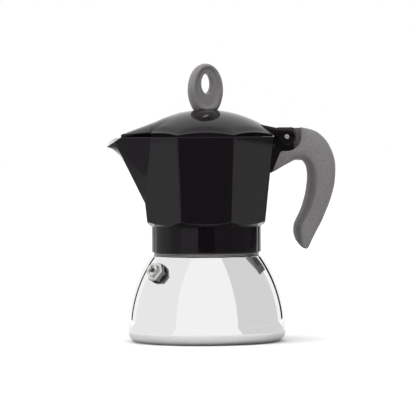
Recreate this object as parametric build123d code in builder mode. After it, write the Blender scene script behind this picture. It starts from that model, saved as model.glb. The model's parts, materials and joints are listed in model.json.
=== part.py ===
from build123d import *
import os
from math import asin, atan2, cos, degrees, radians, sin, sqrt, tan

# Moka pot for four cups: a polished steel boiler with an aluminium lining, a coffee funnel,
# and an eight-sided collector with a spout, a moulded handle and a hinged lid.
# Millimetres. Z is the pot's axis, the foot stands on Z = 0, the spout points to -X
# and the handle to +X.

# Boiler
boiler_diameter = 102.4
boiler_height = 55.8
foot_corner_radius = 7.0
belly_radius = 88.0
shoulder_radius = 1.0
shell_wall = 0.8
bond_gap = 0.05
liner_wall = 1.7

# Boiler neck: a ring of two beads, then the thread
neck_bore_diameter = 57.4
neck_wall = 2.5
ring_height = 1.9
ring_overhang = 3.1
bead_step = 0.4
neck_height = 12.6
thread_pitch = 4.0
thread_depth = 1.3
thread_clearance = 0.4
thread_root_width = 2.1
thread_crest_width = 1.0
neck_thread_turns = 2.0
collar_thread_turns = 1.5
thread_start = 1.6
thread_sink = 0.3

# Safety valve, set square to the belly
valve_drop = 10.8
valve_azimuth = 225.0
valve_hex_flats = 11.3
valve_hex_height = 4.5
valve_hex_chamfer = 0.9
valve_washer_diameter = 13.0
valve_washer_height = 1.0
valve_shank_diameter = 8.4
valve_shank_length = 7.0
valve_boss_diameter = 14.0
valve_boss_height = 2.45
valve_chamber_diameter = 6.4
valve_seat_thickness = 1.5
valve_inlet_diameter = 3.0
valve_cap_diameter = 8.6
valve_cap_height = 2.2
valve_cap_spigot = 1.5
valve_cap_dish_diameter = 5.6
valve_cap_dish_depth = 0.8
valve_stem_diameter = 2.6
valve_stem_reach = 2.5
valve_head_height = 1.2
valve_seal_height = 1.0
valve_slack = 0.4
valve_fit_gap = 0.05
spring_wire = 0.5
spring_turns = 5

# Funnel and its screen
funnel_clearance = 0.5
funnel_wall = 0.8
funnel_rim_overlap = 2.3
funnel_rim_height = 1.0
funnel_depth = 22.0
funnel_ledge = 4.0
funnel_cone_height = 8.0
tube_diameter = 10.0
tube_floor_gap = 3.6
screen_height = 0.8
screen_gap = 0.1

# Gasket and filter plate
gasket_height = 3.7
gasket_bore_diameter = 50.0
gasket_gap = 0.3
filter_diameter = 54.0
filter_height = 0.8
filter_gap = 0.1
hole_diameter = 1.6
hole_ring_step = 4.0
holes_per_ring_step = 6

# Collector
collar_wall = 2.7
collar_gap = 0.3
collar_edge_radius = 0.6
collar_roof = 0.6
facet_count = 8
facet_foot_radius = 41.2
facet_rim_radius = 47.4
facet_height = 54.6
facet_foot_rise = 3.3
collar_step = 1.0
collector_wall = 3.0
floor_height = 4.0
vault_diameter = 46.0
vault_height = 2.6
column_foot_diameter = 18.0
column_foot_height = 8.0
column_top_diameter = 10.0
column_height = 40.0
column_bore_diameter = 6.4
column_cap = 3.0
outlet_width = 4.2
outlet_height = 7.0

# Spout: the left facet bent outwards between flat flanks, its keel flaring into a beak
spout_drop = 42.5
spout_root_spread = 27.0
spout_keel_lean = 27.6
spout_beak_drop = 13.7
spout_lip_drop = 6.3
spout_reach = 64.3
spout_nose_half = 7.0
spout_nose_set = 2.4
spout_nose_foot_share = 0.94
spout_lip_start = 54.6
spout_lip_bulge = 2.4
spout_wall = 2.2
spout_keel_lead = 0.1
spout_flank_draw = 1.4
spout_tip_draw = 1.6

# Hinge, its lug on the collector and its fork on the lid
pin_offset = 52.3
pin_drop = 0.2
pin_diameter = 3.0
pin_running_gap = 0.05
pin_head = 0.4
lug_width = 16.8
lug_top = 6.1
lug_back = 4.5
lug_front = 6.3
lug_foot_drop = 20.0
lug_back_drop = 11.6
ear_gap = 0.3
ear_thickness = 3.4
ear_radius = 5.6
ear_crown = 5.5
arm_start = 36.0
arm_start_rise = 7.9
arm_shoulder = 6.7
arm_crown = 5.8
fork_swing_radius = 9.5
tongue_width = 7.0
tongue_length = 9.0
tongue_height = 11.0
tongue_drop = 9.2
flange_foot_drop = 23.4
flange_top_drop = 9.6
flange_foot_thickness = 1.0
flange_top_thickness = 5.4

# Handle. The outline is measured from the hinge pin, outwards and upwards, and runs
# from the hinge end over the back to the tip and up the inside to the foot of the arch.
handle_width = 24.4
handle_notch_radius = 9.3
handle_fit_gap = 0.12
handle_round = 3.2
handle_back = [
    (4.6, 6.1),
    (12.4, 5.6),
    (19.5, 3.1),
    (25.3, -1.9),
    (28.8, -7.7),
    (31.6, -21.3),
    (30.1, -32.3),
    (26.6, -44.6),
    (21.7, -56.0),
    (15.6, -68.3),
]
handle_tip = (11.6, -72.5)
handle_inside = [
    (7.4, -69.3),
    (3.9, -61.5),
    (6.5, -51.1),
    (10.4, -40.7),
    (12.7, -26.5),
    (11.5, -17.4),
    (7.4, -15.2),
    (-2.2, -19.5),
]
rib_count = 3
rib_step = 1.5
rib_width = 0.7
rib_depth = 0.7
screw_diameter = 4.0
screw_head_diameter = 7.0
screw_head_height = 2.2
screw_reach = 7.0
screw_offset = 8.2
screw_head_drop = 13.0

# Lid and knob
lid_gap = 0.3
lid_inset = 0.5
lid_rise = 17.4
dome_radius = 74.0
lid_wall = 2.0
nose_start = 27.9
nose_sink = 0.4
nose_reach = 54.6
nose_root_spread = 26.6
nose_tip_spread = 5.0
nose_tip_rise = 0.6
nose_steam_gap = 1.2
nose_spread = 33.0
nose_tip_arch = 8.0
knob_boss_diameter = 13.0
knob_boss_height = 3.0
knob_height = 29.8
knob_foot_width = 15.4
knob_width = 22.8
knob_depth = 10.0
knob_turn = 19.0
knob_round = 3.2
knob_hole_width = 8.1
knob_hole_height = 13.6
knob_hole_rise = 16.8
knob_hole_round = 1.6
knob_foot_lean = 0.5
knob_waist_share = 0.42
knob_shoulder_share = 0.4
knob_shoulder_rise = 0.78
knob_screw_reach = 8.0
knob_washer_diameter = 10.0
knob_washer_height = 0.8

# Heights and radii that follow from the sizes above
valve_height = boiler_height - valve_drop
boiler_radius = boiler_diameter / 2
neck_bore = neck_bore_diameter / 2
thread_root = neck_bore + neck_wall
thread_crest = thread_root + thread_depth
collar_bore = thread_crest + thread_clearance
collar_crest = thread_root + thread_clearance
collar_radius = collar_bore + collar_wall
ring_top = boiler_height + ring_height
neck_top = ring_top + neck_height
collar_foot = ring_top + collar_gap
rim_top = neck_top + funnel_rim_height
ceiling = rim_top + gasket_height
collar_top = ceiling + collar_roof
facet_foot = collar_top - collar_step + facet_foot_rise
rim = facet_foot + facet_height
floor_top = ceiling + floor_height
lid_foot = rim + lid_gap
dome_top = rim + lid_gap + lid_rise
dome_centre = dome_top - dome_radius
pin_height = rim - pin_drop
lug_half = lug_width / 2
ear_inner = lug_half + ear_gap
ear_outer = ear_inner + ear_thickness
handle_half = handle_width / 2
half_facet = radians(180 / facet_count)
facet_draft = (facet_rim_radius - facet_foot_radius) / facet_height


def facet_radius(height):
    """Distance from the axis to the collector's outer edges at a height."""
    return facet_rim_radius - facet_draft * (rim - height)


def facet_face(height):
    """Distance from the axis to the flat of the collector's facets at a height."""
    return facet_radius(height) * cos(half_facet)


def upright(x, y, z):
    """Plane along the pot's length, its local axes along X and Z, with its origin at a point."""
    return Plane(origin=(x, y, z), x_dir=(1, 0, 0), z_dir=(0, -1, 0))


def octagon(height, inset):
    """Eight-sided section of the collector at a height, drawn in by inset."""
    radius = facet_radius(height) - inset / cos(half_facet)
    with BuildSketch(Plane.XY.offset(height)) as section:
        RegularPolygon(radius, facet_count, rotation=degrees(half_facet))
    return section.sketch


# Boiler bell: foot corner, belly and shoulder arcs are tangent to each other
corner_x = boiler_radius - foot_corner_radius
belly_x = boiler_radius - belly_radius
shoulder_z = boiler_height - shoulder_radius
shoulder_lift = shoulder_z - foot_corner_radius
shoulder_x = belly_x + sqrt((belly_radius - shoulder_radius) ** 2 - shoulder_lift**2)
shoulder_angle = degrees(atan2(shoulder_lift, shoulder_x - belly_x))


def bell(inset):
    """Half section of the boiler's bell, drawn in by inset, with a sharp shoulder where that uses it up."""
    rounded = inset < shoulder_radius
    reach = belly_radius - inset
    corner_angle = degrees(asin((boiler_height - inset - foot_corner_radius) / reach))
    with BuildSketch(Plane.XZ) as section:
        with BuildLine():
            foot = Line((0, inset), (corner_x, inset))
            CenterArc((corner_x, foot_corner_radius), foot_corner_radius - inset, -90, 90)
            side = CenterArc(
                (belly_x, foot_corner_radius), reach, 0, shoulder_angle if rounded else corner_angle
            )
            if rounded:
                side = CenterArc(
                    (shoulder_x, shoulder_z), shoulder_radius - inset, shoulder_angle, 90 - shoulder_angle
                )
            top = Line(side @ 1, (0, boiler_height - inset))
            Line(top @ 1, foot @ 0)
        make_face()
    return section.sketch


def half_section(points):
    """Straight-sided half section for a revolve, from (radius, height) points."""
    with BuildSketch(Plane.XZ) as section:
        with BuildLine():
            Polyline(*points, close=True)
        make_face()
    return section.sketch


def thread_ridge(root, crest, start, turns):
    """Right-hand helical ridge of a trapezoid section, standing from root towards crest."""
    outward = 1 if crest > root else -1
    sunk_root = root - outward * thread_sink
    with BuildPart() as ridge:
        with BuildLine() as path:
            Helix(thread_pitch, thread_pitch * turns, root, center=(0, 0, start))
        with BuildSketch(Plane(origin=(0, 0, start), x_dir=(1, 0, 0), z_dir=(0, -1, 0))):
            with BuildLine():
                Polyline(
                    (sunk_root, -thread_root_width / 2),
                    (crest, -thread_crest_width / 2),
                    (crest, thread_crest_width / 2),
                    (sunk_root, thread_root_width / 2),
                    close=True,
                )
            make_face()
        sweep(path=path.line, is_frenet=True)
    return ridge.part


# Valve axis: square to the belly at the valve's height
valve_tilt = asin((valve_height - foot_corner_radius) / belly_radius)
valve_reach = belly_x + belly_radius * cos(valve_tilt)
valve_side = radians(valve_azimuth)
valve_plane = Plane(
    origin=(valve_reach * cos(valve_side), valve_reach * sin(valve_side), valve_height),
    x_dir=(-sin(valve_side), cos(valve_side), 0),
    z_dir=(cos(valve_tilt) * cos(valve_side), cos(valve_tilt) * sin(valve_side), sin(valve_tilt)),
)
liner_inset = shell_wall + bond_gap
wall_depth = liner_inset + liner_wall
shank_radius = valve_shank_diameter / 2
hex_foot = valve_washer_height
hex_top = hex_foot + valve_hex_height
cap_top = hex_top + valve_cap_height
seat = hex_foot - valve_shank_length + valve_seat_thickness
head_foot = seat + valve_seal_height
head_top = head_foot + valve_head_height
spring_top = hex_top - valve_cap_spigot
chamber_radius = valve_chamber_diameter / 2
stem_radius = valve_stem_diameter / 2


def disc(plane, low, high, radius, bore=0.0):
    """Round plate or tube on a plane, between two heights above it."""
    with BuildPart() as piece:
        with BuildSketch(plane.offset(low)):
            Circle(radius)
            if bore > 0:
                Circle(bore, mode=Mode.SUBTRACT)
        extrude(amount=high - low)
    return piece.part


with BuildPart() as boiler_shell:
    revolve(bell(0), axis=Axis.Z)
    revolve(bell(shell_wall), axis=Axis.Z, mode=Mode.SUBTRACT)
    neck_hole = disc(Plane.XY, boiler_height - 2 * shell_wall, boiler_height, thread_root + bond_gap)
    add(neck_hole, mode=Mode.SUBTRACT)
    add(disc(valve_plane, -wall_depth, wall_depth, shank_radius + bond_gap), mode=Mode.SUBTRACT)

# Lining: the vessel, its beaded ring on the shell's shoulder, and the threaded neck
ring_radius = thread_root + ring_overhang
bead_radius = ring_radius - bead_step
with BuildSketch(Plane.XZ) as ring_section:
    with BuildLine():
        foot = Line((neck_bore, boiler_height), (bead_radius, boiler_height))
        low_bead = ThreePointArc(
            foot @ 1,
            (ring_radius, boiler_height + ring_height / 4),
            (bead_radius, boiler_height + ring_height / 2),
        )
        high_bead = ThreePointArc(
            low_bead @ 1,
            (ring_radius - bead_step / 2, ring_top - ring_height / 4),
            (bead_radius, ring_top),
        )
        top = Line(high_bead @ 1, (neck_bore, ring_top))
        Line(top @ 1, foot @ 0)
    make_face()
with BuildPart() as boiler_liner:
    revolve(bell(liner_inset), axis=Axis.Z)
    revolve(bell(wall_depth), axis=Axis.Z, mode=Mode.SUBTRACT)
    boss_top = liner_wall / 3 - wall_depth
    add(disc(valve_plane, -wall_depth - valve_boss_height, boss_top, valve_boss_diameter / 2))
    add(disc(Plane.XY, boiler_height - wall_depth, neck_top, thread_root))
    revolve(ring_section.sketch, axis=Axis.Z)
    add(thread_ridge(thread_root, thread_crest, ring_top + thread_start, neck_thread_turns))
    add(disc(Plane.XY, boiler_height - 2 * wall_depth, neck_top, neck_bore), mode=Mode.SUBTRACT)
    add(disc(valve_plane, -3 * wall_depth, wall_depth, shank_radius), mode=Mode.SUBTRACT)

# Safety valve
with BuildPart() as valve_washer:
    add(disc(valve_plane, -wall_depth, hex_foot, valve_washer_diameter / 2, shank_radius + bond_gap))
    revolve(bell(0), axis=Axis.Z, mode=Mode.SUBTRACT)

with BuildPart() as valve_body:
    with BuildSketch(valve_plane.offset(hex_foot)):
        RegularPolygon(valve_hex_flats / 2, 6, major_radius=False)
    extrude(amount=valve_hex_height)
    hex_face = valve_body.faces().sort_by(Axis(valve_plane.origin, valve_plane.z_dir))[-1]
    chamfer(hex_face.edges(), valve_hex_chamfer)
    add(disc(valve_plane, hex_foot - valve_shank_length, hex_foot, shank_radius))
    add(disc(valve_plane, seat, hex_top, chamber_radius), mode=Mode.SUBTRACT)
    inlet = disc(valve_plane, seat - 2 * valve_seat_thickness, seat, valve_inlet_diameter / 2)
    add(inlet, mode=Mode.SUBTRACT)

stem_hole = stem_radius + valve_slack
with BuildPart() as valve_cap:
    add(disc(valve_plane, hex_top, cap_top, valve_cap_diameter / 2))
    add(disc(valve_plane, spring_top, hex_top, chamber_radius - valve_fit_gap))
    dish = disc(valve_plane, cap_top - valve_cap_dish_depth, cap_top, valve_cap_dish_diameter / 2)
    add(dish, mode=Mode.SUBTRACT)
    add(disc(valve_plane, spring_top, cap_top, stem_hole), mode=Mode.SUBTRACT)

with BuildPart() as valve_seal:
    add(disc(valve_plane, seat, head_foot, chamber_radius - valve_slack))

with BuildPart() as valve_stem:
    add(disc(valve_plane, head_foot, head_top, chamber_radius - valve_slack))
    add(disc(valve_plane, head_top, cap_top + valve_stem_reach, stem_radius))

# Valve spring: a plain helix of wire between the stem's head and the cap's spigot
spring_radius = (chamber_radius + stem_radius) / 2
spring_rise = spring_top - head_top - spring_wire
spring_foot = head_top + spring_wire / 2
with BuildPart() as valve_spring:
    with BuildLine(valve_plane.offset(spring_foot)) as coil:
        Helix(
            spring_rise / spring_turns,
            spring_rise,
            spring_radius,
            center=(0, 0, 0),
            direction=valve_plane.z_dir,
        )
    with BuildSketch(Plane(origin=coil.line @ 0, z_dir=coil.line % 0)):
        Circle(spring_wire / 2)
    sweep(path=coil.line, is_frenet=True)
    coil_gap = spring_rise / spring_turns - spring_wire
print("valve spring: least gap between turns", round(coil_gap, 2))

# Funnel: cup, cone and down tube of one sheet, with a rolled rim that hangs on the neck
cup_radius = neck_bore - funnel_clearance
cup_inner = cup_radius - funnel_wall
rim_radius = neck_bore + funnel_rim_overlap
cup_floor = rim_top - funnel_depth
cone_foot = cup_floor - funnel_cone_height
tube_radius = tube_diameter / 2
tube_inner = tube_radius - funnel_wall
tube_foot = wall_depth + tube_floor_gap
with BuildPart() as funnel:
    funnel_points = [
        (tube_inner, tube_foot),
        (tube_radius, tube_foot),
        (tube_radius, cone_foot),
        (cup_radius, cup_floor - funnel_wall),
        (cup_radius, neck_top),
        (rim_radius, neck_top),
        (rim_radius, rim_top),
        (cup_inner, rim_top),
        (cup_inner, cup_floor),
        (cup_inner - funnel_ledge, cup_floor),
        (tube_inner, cone_foot + funnel_wall),
    ]
    revolve(half_section(funnel_points), axis=Axis.Z)


def perforated(low, high, radius, ring_limit):
    """Round plate with a centre hole and rings of holes, each ring a step wider than the last."""
    rings = int(ring_limit / hole_ring_step)
    with BuildPart() as plate:
        with BuildSketch(Plane.XY.offset(low)):
            Circle(radius)
            Circle(hole_diameter / 2, mode=Mode.SUBTRACT)
            for ring in range(1, rings + 1):
                with PolarLocations(ring * hole_ring_step, ring * holes_per_ring_step):
                    Circle(hole_diameter / 2, mode=Mode.SUBTRACT)
        extrude(amount=high - low)
    return plate.part


with BuildPart() as funnel_screen:
    add(perforated(cup_floor, cup_floor + screen_height, cup_inner - screen_gap, cup_inner - funnel_ledge))

# Gasket with a ledge that holds the filter plate under the collector's ceiling
gasket_radius = collar_crest - gasket_gap
gasket_bore = gasket_bore_diameter / 2
filter_radius = filter_diameter / 2
filter_foot = ceiling - filter_gap - filter_height
with BuildPart() as gasket:
    gasket_points = [
        (gasket_bore, rim_top),
        (gasket_radius, rim_top),
        (gasket_radius, ceiling),
        (filter_radius + filter_gap, ceiling),
        (filter_radius + filter_gap, filter_foot),
        (gasket_bore, filter_foot),
    ]
    revolve(half_section(gasket_points), axis=Axis.Z)

with BuildPart() as filter_plate:
    add(perforated(filter_foot, filter_foot + filter_height, filter_radius, gasket_bore - hole_diameter))

# Spout: sections at five heights, from the left facet's full width to the beak
spout_foot = rim - spout_drop
beak_foot = rim - spout_beak_drop
beak_tip = rim - spout_lip_drop
keel_slope = tan(radians(spout_keel_lean))


def spout_root(height):
    """Where the spout's flank leaves the slanting facet at a height, as X and half width."""
    share = (height - spout_foot) / spout_drop
    foot_spread = facet_face(spout_foot) * tan(half_facet)
    spread = foot_spread + (spout_root_spread - foot_spread) * share
    root_x = -(facet_face(height) / cos(radians(45)) - spread)
    return max(root_x, -facet_face(height)), spread


def spout_keel(height):
    """X of the spout's leaning keel at a height."""
    return -facet_face(spout_foot) - keel_slope * (height - spout_foot)


def spout_nose(height):
    """Corner between the spout's flat flank and its bent-out facet at a height, as X and half width."""
    share = (height - spout_foot) / spout_drop
    foot_half = spout_nose_foot_share * facet_face(spout_foot) * tan(half_facet)
    foot_x = spout_keel(spout_foot)
    rim_x = spout_keel(rim) + spout_nose_set
    return foot_x + (rim_x - foot_x) * share, foot_half + (spout_nose_half - foot_half) * share


def spout_section(height, tip, inset):
    """Pointed section of the spout: root on the facets, straight flanks, and a blunt nose at tip."""
    root_x, spread = spout_root(height)
    nose_x, nose_half = spout_nose(height)
    keel = spout_keel(height)
    with BuildSketch(Plane.XY.offset(height)) as section:
        with BuildLine():
            Polyline(
                (root_x + inset, spread - inset),
                (nose_x + spout_flank_draw * inset, nose_half - inset),
                (min(tip, keel - spout_keel_lead) + spout_tip_draw * inset, 0),
                (nose_x + spout_flank_draw * inset, -nose_half + inset),
                (root_x + inset, -spread + inset),
                (-column_foot_diameter, 0),
                close=True,
            )
        make_face()
    return section.sketch


def spout_form(inset):
    """Solid spout up to the rim, drawn in by inset."""
    keel_reach = facet_face(spout_foot) + keel_slope * (beak_tip - spout_foot)
    beak = (spout_reach + keel_reach) / 2
    with BuildPart() as form:
        loft(
            [
                spout_section(spout_foot, 0, inset),
                spout_section(beak_foot, 0, inset),
                spout_section((beak_foot + beak_tip) / 2, 0, inset),
                spout_section((beak_foot + 2 * beak_tip) / 3, -beak, inset),
                spout_section(beak_tip, -spout_reach, inset),
                spout_section(rim, -spout_reach, inset),
            ],
            ruled=True,
        )
    return form.part


def cheek_section(height, side):
    """What lies outside one flank of the spout at a height: the corner of the eight sides is cut to it."""
    root_x, spread = spout_root(height)
    with BuildSketch(Plane.XY.offset(height)) as section:
        with BuildLine():
            Polyline(
                (root_x, side * spread),
                (spout_keel(height), 0),
                (-2 * spout_reach, 0),
                (-2 * spout_reach, side * spread),
                close=True,
            )
        make_face()
    return section.sketch


# Collector
cone_slope = facet_foot_rise / (facet_foot_radius - collar_radius)
cone_low = collar_top - collar_step
wide = spout_reach + boiler_radius
column_top = floor_top + column_height
column_bore = column_bore_diameter / 2
riser_foot = column_foot_diameter / 2
outlet_foot = column_top - column_cap - outlet_height
seat_foot = neck_top - 2 * gasket_gap
gasket_seat = gasket_radius + gasket_gap
pin_plane = upright(pin_offset, 0, pin_height)
lug_back_x = pin_offset + lug_back
lug_top_z = pin_height + lug_top
lug_foot_z = rim - lug_foot_drop
flange_foot_z = rim - flange_foot_drop
flange_top_z = rim - flange_top_drop
flange_foot_x = facet_face(flange_foot_z) + flange_foot_thickness
flange_top_x = facet_face(flange_top_z) + flange_top_thickness
tongue_foot = pin_height - tongue_drop
sunk = collector_wall / 3


def plate(points, half_width):
    """Flat plate across the middle plane, from an (x, z) outline."""
    with BuildPart() as piece:
        with BuildSketch(Plane.XZ):
            with BuildLine():
                Polyline(*points, close=True)
            make_face()
        extrude(amount=half_width, both=True)
    return piece.part


def lug_outline(gap):
    """Outline of the hinge lug, with room round its back and foot where gap is given."""
    return [
        (facet_face(lug_foot_z) - sunk, lug_foot_z - gap),
        (facet_face(rim) - sunk, rim),
        (facet_face(rim), rim),
        (pin_offset - lug_front, lug_top_z + gap),
        (lug_back_x + gap, lug_top_z + gap),
        (lug_back_x + gap, rim - lug_back_drop - gap),
    ]


def tongue_outline(gap):
    """Outline of the tongue behind the lug, with room all round where gap is given."""
    return [
        (lug_back_x - sunk, tongue_foot - gap),
        (lug_back_x + tongue_length + gap, tongue_foot - gap),
        (lug_back_x + tongue_length + gap, tongue_foot + tongue_height + gap),
        (lug_back_x - sunk, tongue_foot + tongue_height + gap),
    ]


flange_outline = [
    (facet_face(flange_foot_z) - sunk, flange_foot_z),
    (flange_foot_x, flange_foot_z),
    (flange_top_x, flange_top_z),
    (facet_face(flange_top_z) - sunk, flange_top_z + flange_top_thickness),
]
lip_chord = Vector(-spout_reach + spout_lip_start, beak_tip - rim)
lip_out = Vector(lip_chord.Y, -lip_chord.X).normalized()
lip_middle = Vector(-spout_lip_start, rim) + lip_chord * 0.5 + lip_out * spout_lip_bulge
screw_plane = Plane(origin=(pin_offset + screw_offset, 0, 0))
screw_seat = pin_height - screw_head_drop
screw_radius = screw_diameter / 2

vault_points = [
    (0, ceiling),
    (vault_diameter / 2, ceiling),
    (column_bore, ceiling + vault_height),
    (column_bore, column_top - column_cap),
    (0, column_top - column_cap),
]

# Bowl of the collector with its spout
with BuildPart() as collector:
    loft([octagon(cone_low, 0), octagon(rim, 0)], ruled=True)
    for side in (-1, 1):
        cheek = [cheek_section(spout_foot, side), cheek_section(rim, side)]
        loft(cheek, ruled=True, mode=Mode.SUBTRACT)
    add(spout_form(0))
    cone_points = [
        (0, cone_low),
        (collar_radius, cone_low),
        (wide, cone_low + cone_slope * (wide - collar_radius)),
        (wide, rim),
        (0, rim),
    ]
    revolve(half_section(cone_points), axis=Axis.Z, mode=Mode.INTERSECT)
    bowl = [octagon(floor_top, collector_wall), octagon(rim, collector_wall)]
    loft(bowl, ruled=True, mode=Mode.SUBTRACT)
    add(spout_form(spout_wall), mode=Mode.SUBTRACT)
    # Pouring mouth, cut back along a rising arc
    with BuildSketch(Plane.XZ):
        with BuildLine():
            lip = ThreePointArc((-spout_lip_start, rim), lip_middle, (-spout_reach, beak_tip))
            above = [(-wide, beak_tip), (-wide, dome_top), (-spout_lip_start, dome_top)]
            Polyline(lip @ 1, *above, lip @ 0)
        make_face()
    extrude(amount=wide, both=True, mode=Mode.SUBTRACT)
    # Floor: the gasket's pocket, the vault over the filter plate and the riser's socket
    add(disc(Plane.XY, cone_low, ceiling, gasket_seat), mode=Mode.SUBTRACT)
    revolve(half_section(vault_points), axis=Axis.Z, mode=Mode.SUBTRACT)
    add(disc(Plane.XY, ceiling, floor_top, riser_foot + bond_gap), mode=Mode.SUBTRACT)

# Threaded collar under the floor, with the gasket's seat above the thread
with BuildPart() as collar:
    add(disc(Plane.XY, collar_foot, cone_low - bond_gap, collar_radius))
    fillet(collar.edges().group_by(Axis.Z)[0], collar_edge_radius)
    add(disc(Plane.XY, collar_foot, cone_low, gasket_seat), mode=Mode.SUBTRACT)
    add(disc(Plane.XY, collar_foot, seat_foot, collar_bore), mode=Mode.SUBTRACT)
    collar_start = ring_top + thread_start + thread_pitch / 2
    add(thread_ridge(collar_bore, collar_crest, collar_start, collar_thread_turns))

# Riser column in the floor, with two side outlets under its cap
with BuildPart() as riser_column:
    column_points = [
        (0, ceiling),
        (riser_foot, ceiling),
        (riser_foot, floor_top),
        (column_top_diameter / 2 + sunk, floor_top + column_foot_height),
        (column_top_diameter / 2, column_top),
        (0, column_top),
    ]
    revolve(half_section(column_points), axis=Axis.Z)
    revolve(half_section(vault_points), axis=Axis.Z, mode=Mode.SUBTRACT)
    with BuildSketch(Plane.XZ):
        with Locations((0, outlet_foot + outlet_height / 2)):
            Rectangle(outlet_width, outlet_height)
    extrude(amount=column_foot_diameter, both=True, mode=Mode.SUBTRACT)

# Hinge lug on the right facet, the flange the handle's cheeks butt against, and the handle's tongue
with BuildPart() as hinge_lug:
    add(plate(lug_outline(0), lug_half))
    add(plate(flange_outline, handle_half))
    add(plate(tongue_outline(0), tongue_width / 2))
    loft([octagon(cone_low, -bond_gap), octagon(rim, -bond_gap)], ruled=True, mode=Mode.SUBTRACT)
    with BuildSketch(pin_plane):
        Circle(pin_diameter / 2)
    extrude(amount=handle_width, both=True, mode=Mode.SUBTRACT)
    add(disc(screw_plane, screw_seat, tongue_foot + screw_reach, screw_radius), mode=Mode.SUBTRACT)

with BuildPart() as hinge_pin:
    with BuildSketch(pin_plane):
        Circle(pin_diameter / 2)
    extrude(amount=ear_outer + pin_head, both=True)
    fillet(hinge_pin.edges().filter_by(GeomType.CIRCLE), pin_head)

# Handle: the outline's plate with rounded edges, notched for the lid's ears and housed over the lug
with BuildPart() as handle:
    with BuildSketch(pin_plane):
        with BuildLine():
            foot = (flange_foot_x + handle_fit_gap - pin_offset, flange_foot_z - pin_height)
            brow = (flange_top_x + handle_fit_gap - pin_offset, flange_top_z - pin_height)
            back = Spline(*handle_back)
            inside = Spline(*handle_inside, foot)
            ThreePointArc(back @ 1, handle_tip, inside @ 0)
            Polyline(foot, brow, back @ 0)
        make_face()
    extrude(amount=handle_half, both=True)
    curved = handle.edges().filter_by(GeomType.BSPLINE) + handle.edges().filter_by(GeomType.CIRCLE)
    fillet(curved, handle_round)
    with BuildSketch(pin_plane):
        Circle(handle_notch_radius)
    notch = extrude(amount=handle_width, both=True, mode=Mode.PRIVATE)
    web = plate([(lug_back_x, 0), (wide, 0), (wide, dome_top), (lug_back_x, dome_top)], lug_half)
    add(notch - web, mode=Mode.SUBTRACT)
    add(plate(lug_outline(handle_fit_gap), lug_half + handle_fit_gap), mode=Mode.SUBTRACT)
    add(plate(tongue_outline(handle_fit_gap), tongue_width / 2 + handle_fit_gap), mode=Mode.SUBTRACT)
    # Upright ribs on the web's two flanks, left between grooves that curve round the hinge
    for flank in (-1, 1):
        with BuildSketch(upright(pin_offset, flank * (lug_half - rib_depth / 2), pin_height)):
            for rib in range(rib_count):
                groove = handle_notch_radius - rib * rib_step
                Circle(groove)
                Circle(groove - rib_width, mode=Mode.SUBTRACT)
        extrude(amount=rib_depth / 2, both=True, mode=Mode.SUBTRACT)
    add(disc(screw_plane, 0, tongue_foot + screw_reach, screw_radius), mode=Mode.SUBTRACT)
    head_room = disc(screw_plane, flange_foot_z, screw_seat, screw_head_diameter / 2 + handle_fit_gap)
    add(head_room, mode=Mode.SUBTRACT)

with BuildPart() as handle_screw:
    add(disc(screw_plane, screw_seat, tongue_foot + screw_reach, screw_radius))
    add(disc(screw_plane, screw_seat - screw_head_height, screw_seat, screw_head_diameter / 2))
    chamfer(handle_screw.edges().group_by(Axis.Z)[0], screw_head_height / 3)


# Lid
def dome_form(foot, inset):
    """Spherical dome cut to the collector's eight sides, drawn in by inset."""
    with BuildPart() as form:
        with Locations((0, 0, dome_centre)):
            Sphere(dome_radius - inset)
        with BuildSketch(Plane.XY.offset(foot)):
            lid_radius = facet_rim_radius - lid_inset - inset / cos(half_facet)
            RegularPolygon(lid_radius, facet_count, rotation=degrees(half_facet))
        extrude(amount=dome_radius, mode=Mode.INTERSECT)
    return form.part


nose_foot = lid_foot + nose_steam_gap
nose_tip_z = nose_foot + nose_tip_rise
nose_crown = dome_centre + sqrt(dome_radius**2 - nose_start**2)
nose_eave = dome_centre + sqrt(dome_radius**2 - nose_start**2 - nose_spread**2)
nose_root_x = (facet_rim_radius - lid_inset) * cos(half_facet) / cos(radians(45)) - nose_root_spread


def nose_section(x, spread, crown, eave, foot):
    """Arched section of the lid's nose across the pot."""
    with BuildSketch(Plane.YZ.offset(-x)) as section:
        with BuildLine():
            arch = ThreePointArc((-spread, eave), (0, crown), (spread, eave))
            Polyline(arch @ 1, (spread, foot), (-spread, foot), arch @ 0)
        make_face()
    return section.sketch


def nose_form(foot, inset):
    """Arched nose over the spout, sunk a little into the dome at its root, drawn in by inset."""
    low = min(foot, nose_tip_z - nose_tip_arch) - nose_tip_arch
    root_crown = nose_crown - nose_sink
    root_eave = nose_eave - nose_sink
    tip_eave = nose_tip_z - nose_tip_rise
    reach = nose_reach - inset
    root = nose_root_spread - inset
    tip = max(nose_tip_spread - inset, nose_tip_spread / 4)
    with BuildPart() as form:
        loft(
            [
                nose_section(nose_start, nose_spread, root_crown - inset, root_eave - inset, low),
                nose_section(nose_reach, nose_tip_arch, nose_tip_z - inset, tip_eave - inset, low),
            ],
            ruled=True,
        )
        with BuildSketch(Plane.XY.offset(foot)):
            with BuildLine():
                Polyline(
                    (0, root),
                    (-nose_root_x, root),
                    (-reach, tip),
                    (-reach, -tip),
                    (-nose_root_x, -root),
                    (0, -root),
                    close=True,
                )
            make_face()
        extrude(amount=dome_radius, mode=Mode.INTERSECT)
    return form.part


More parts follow.
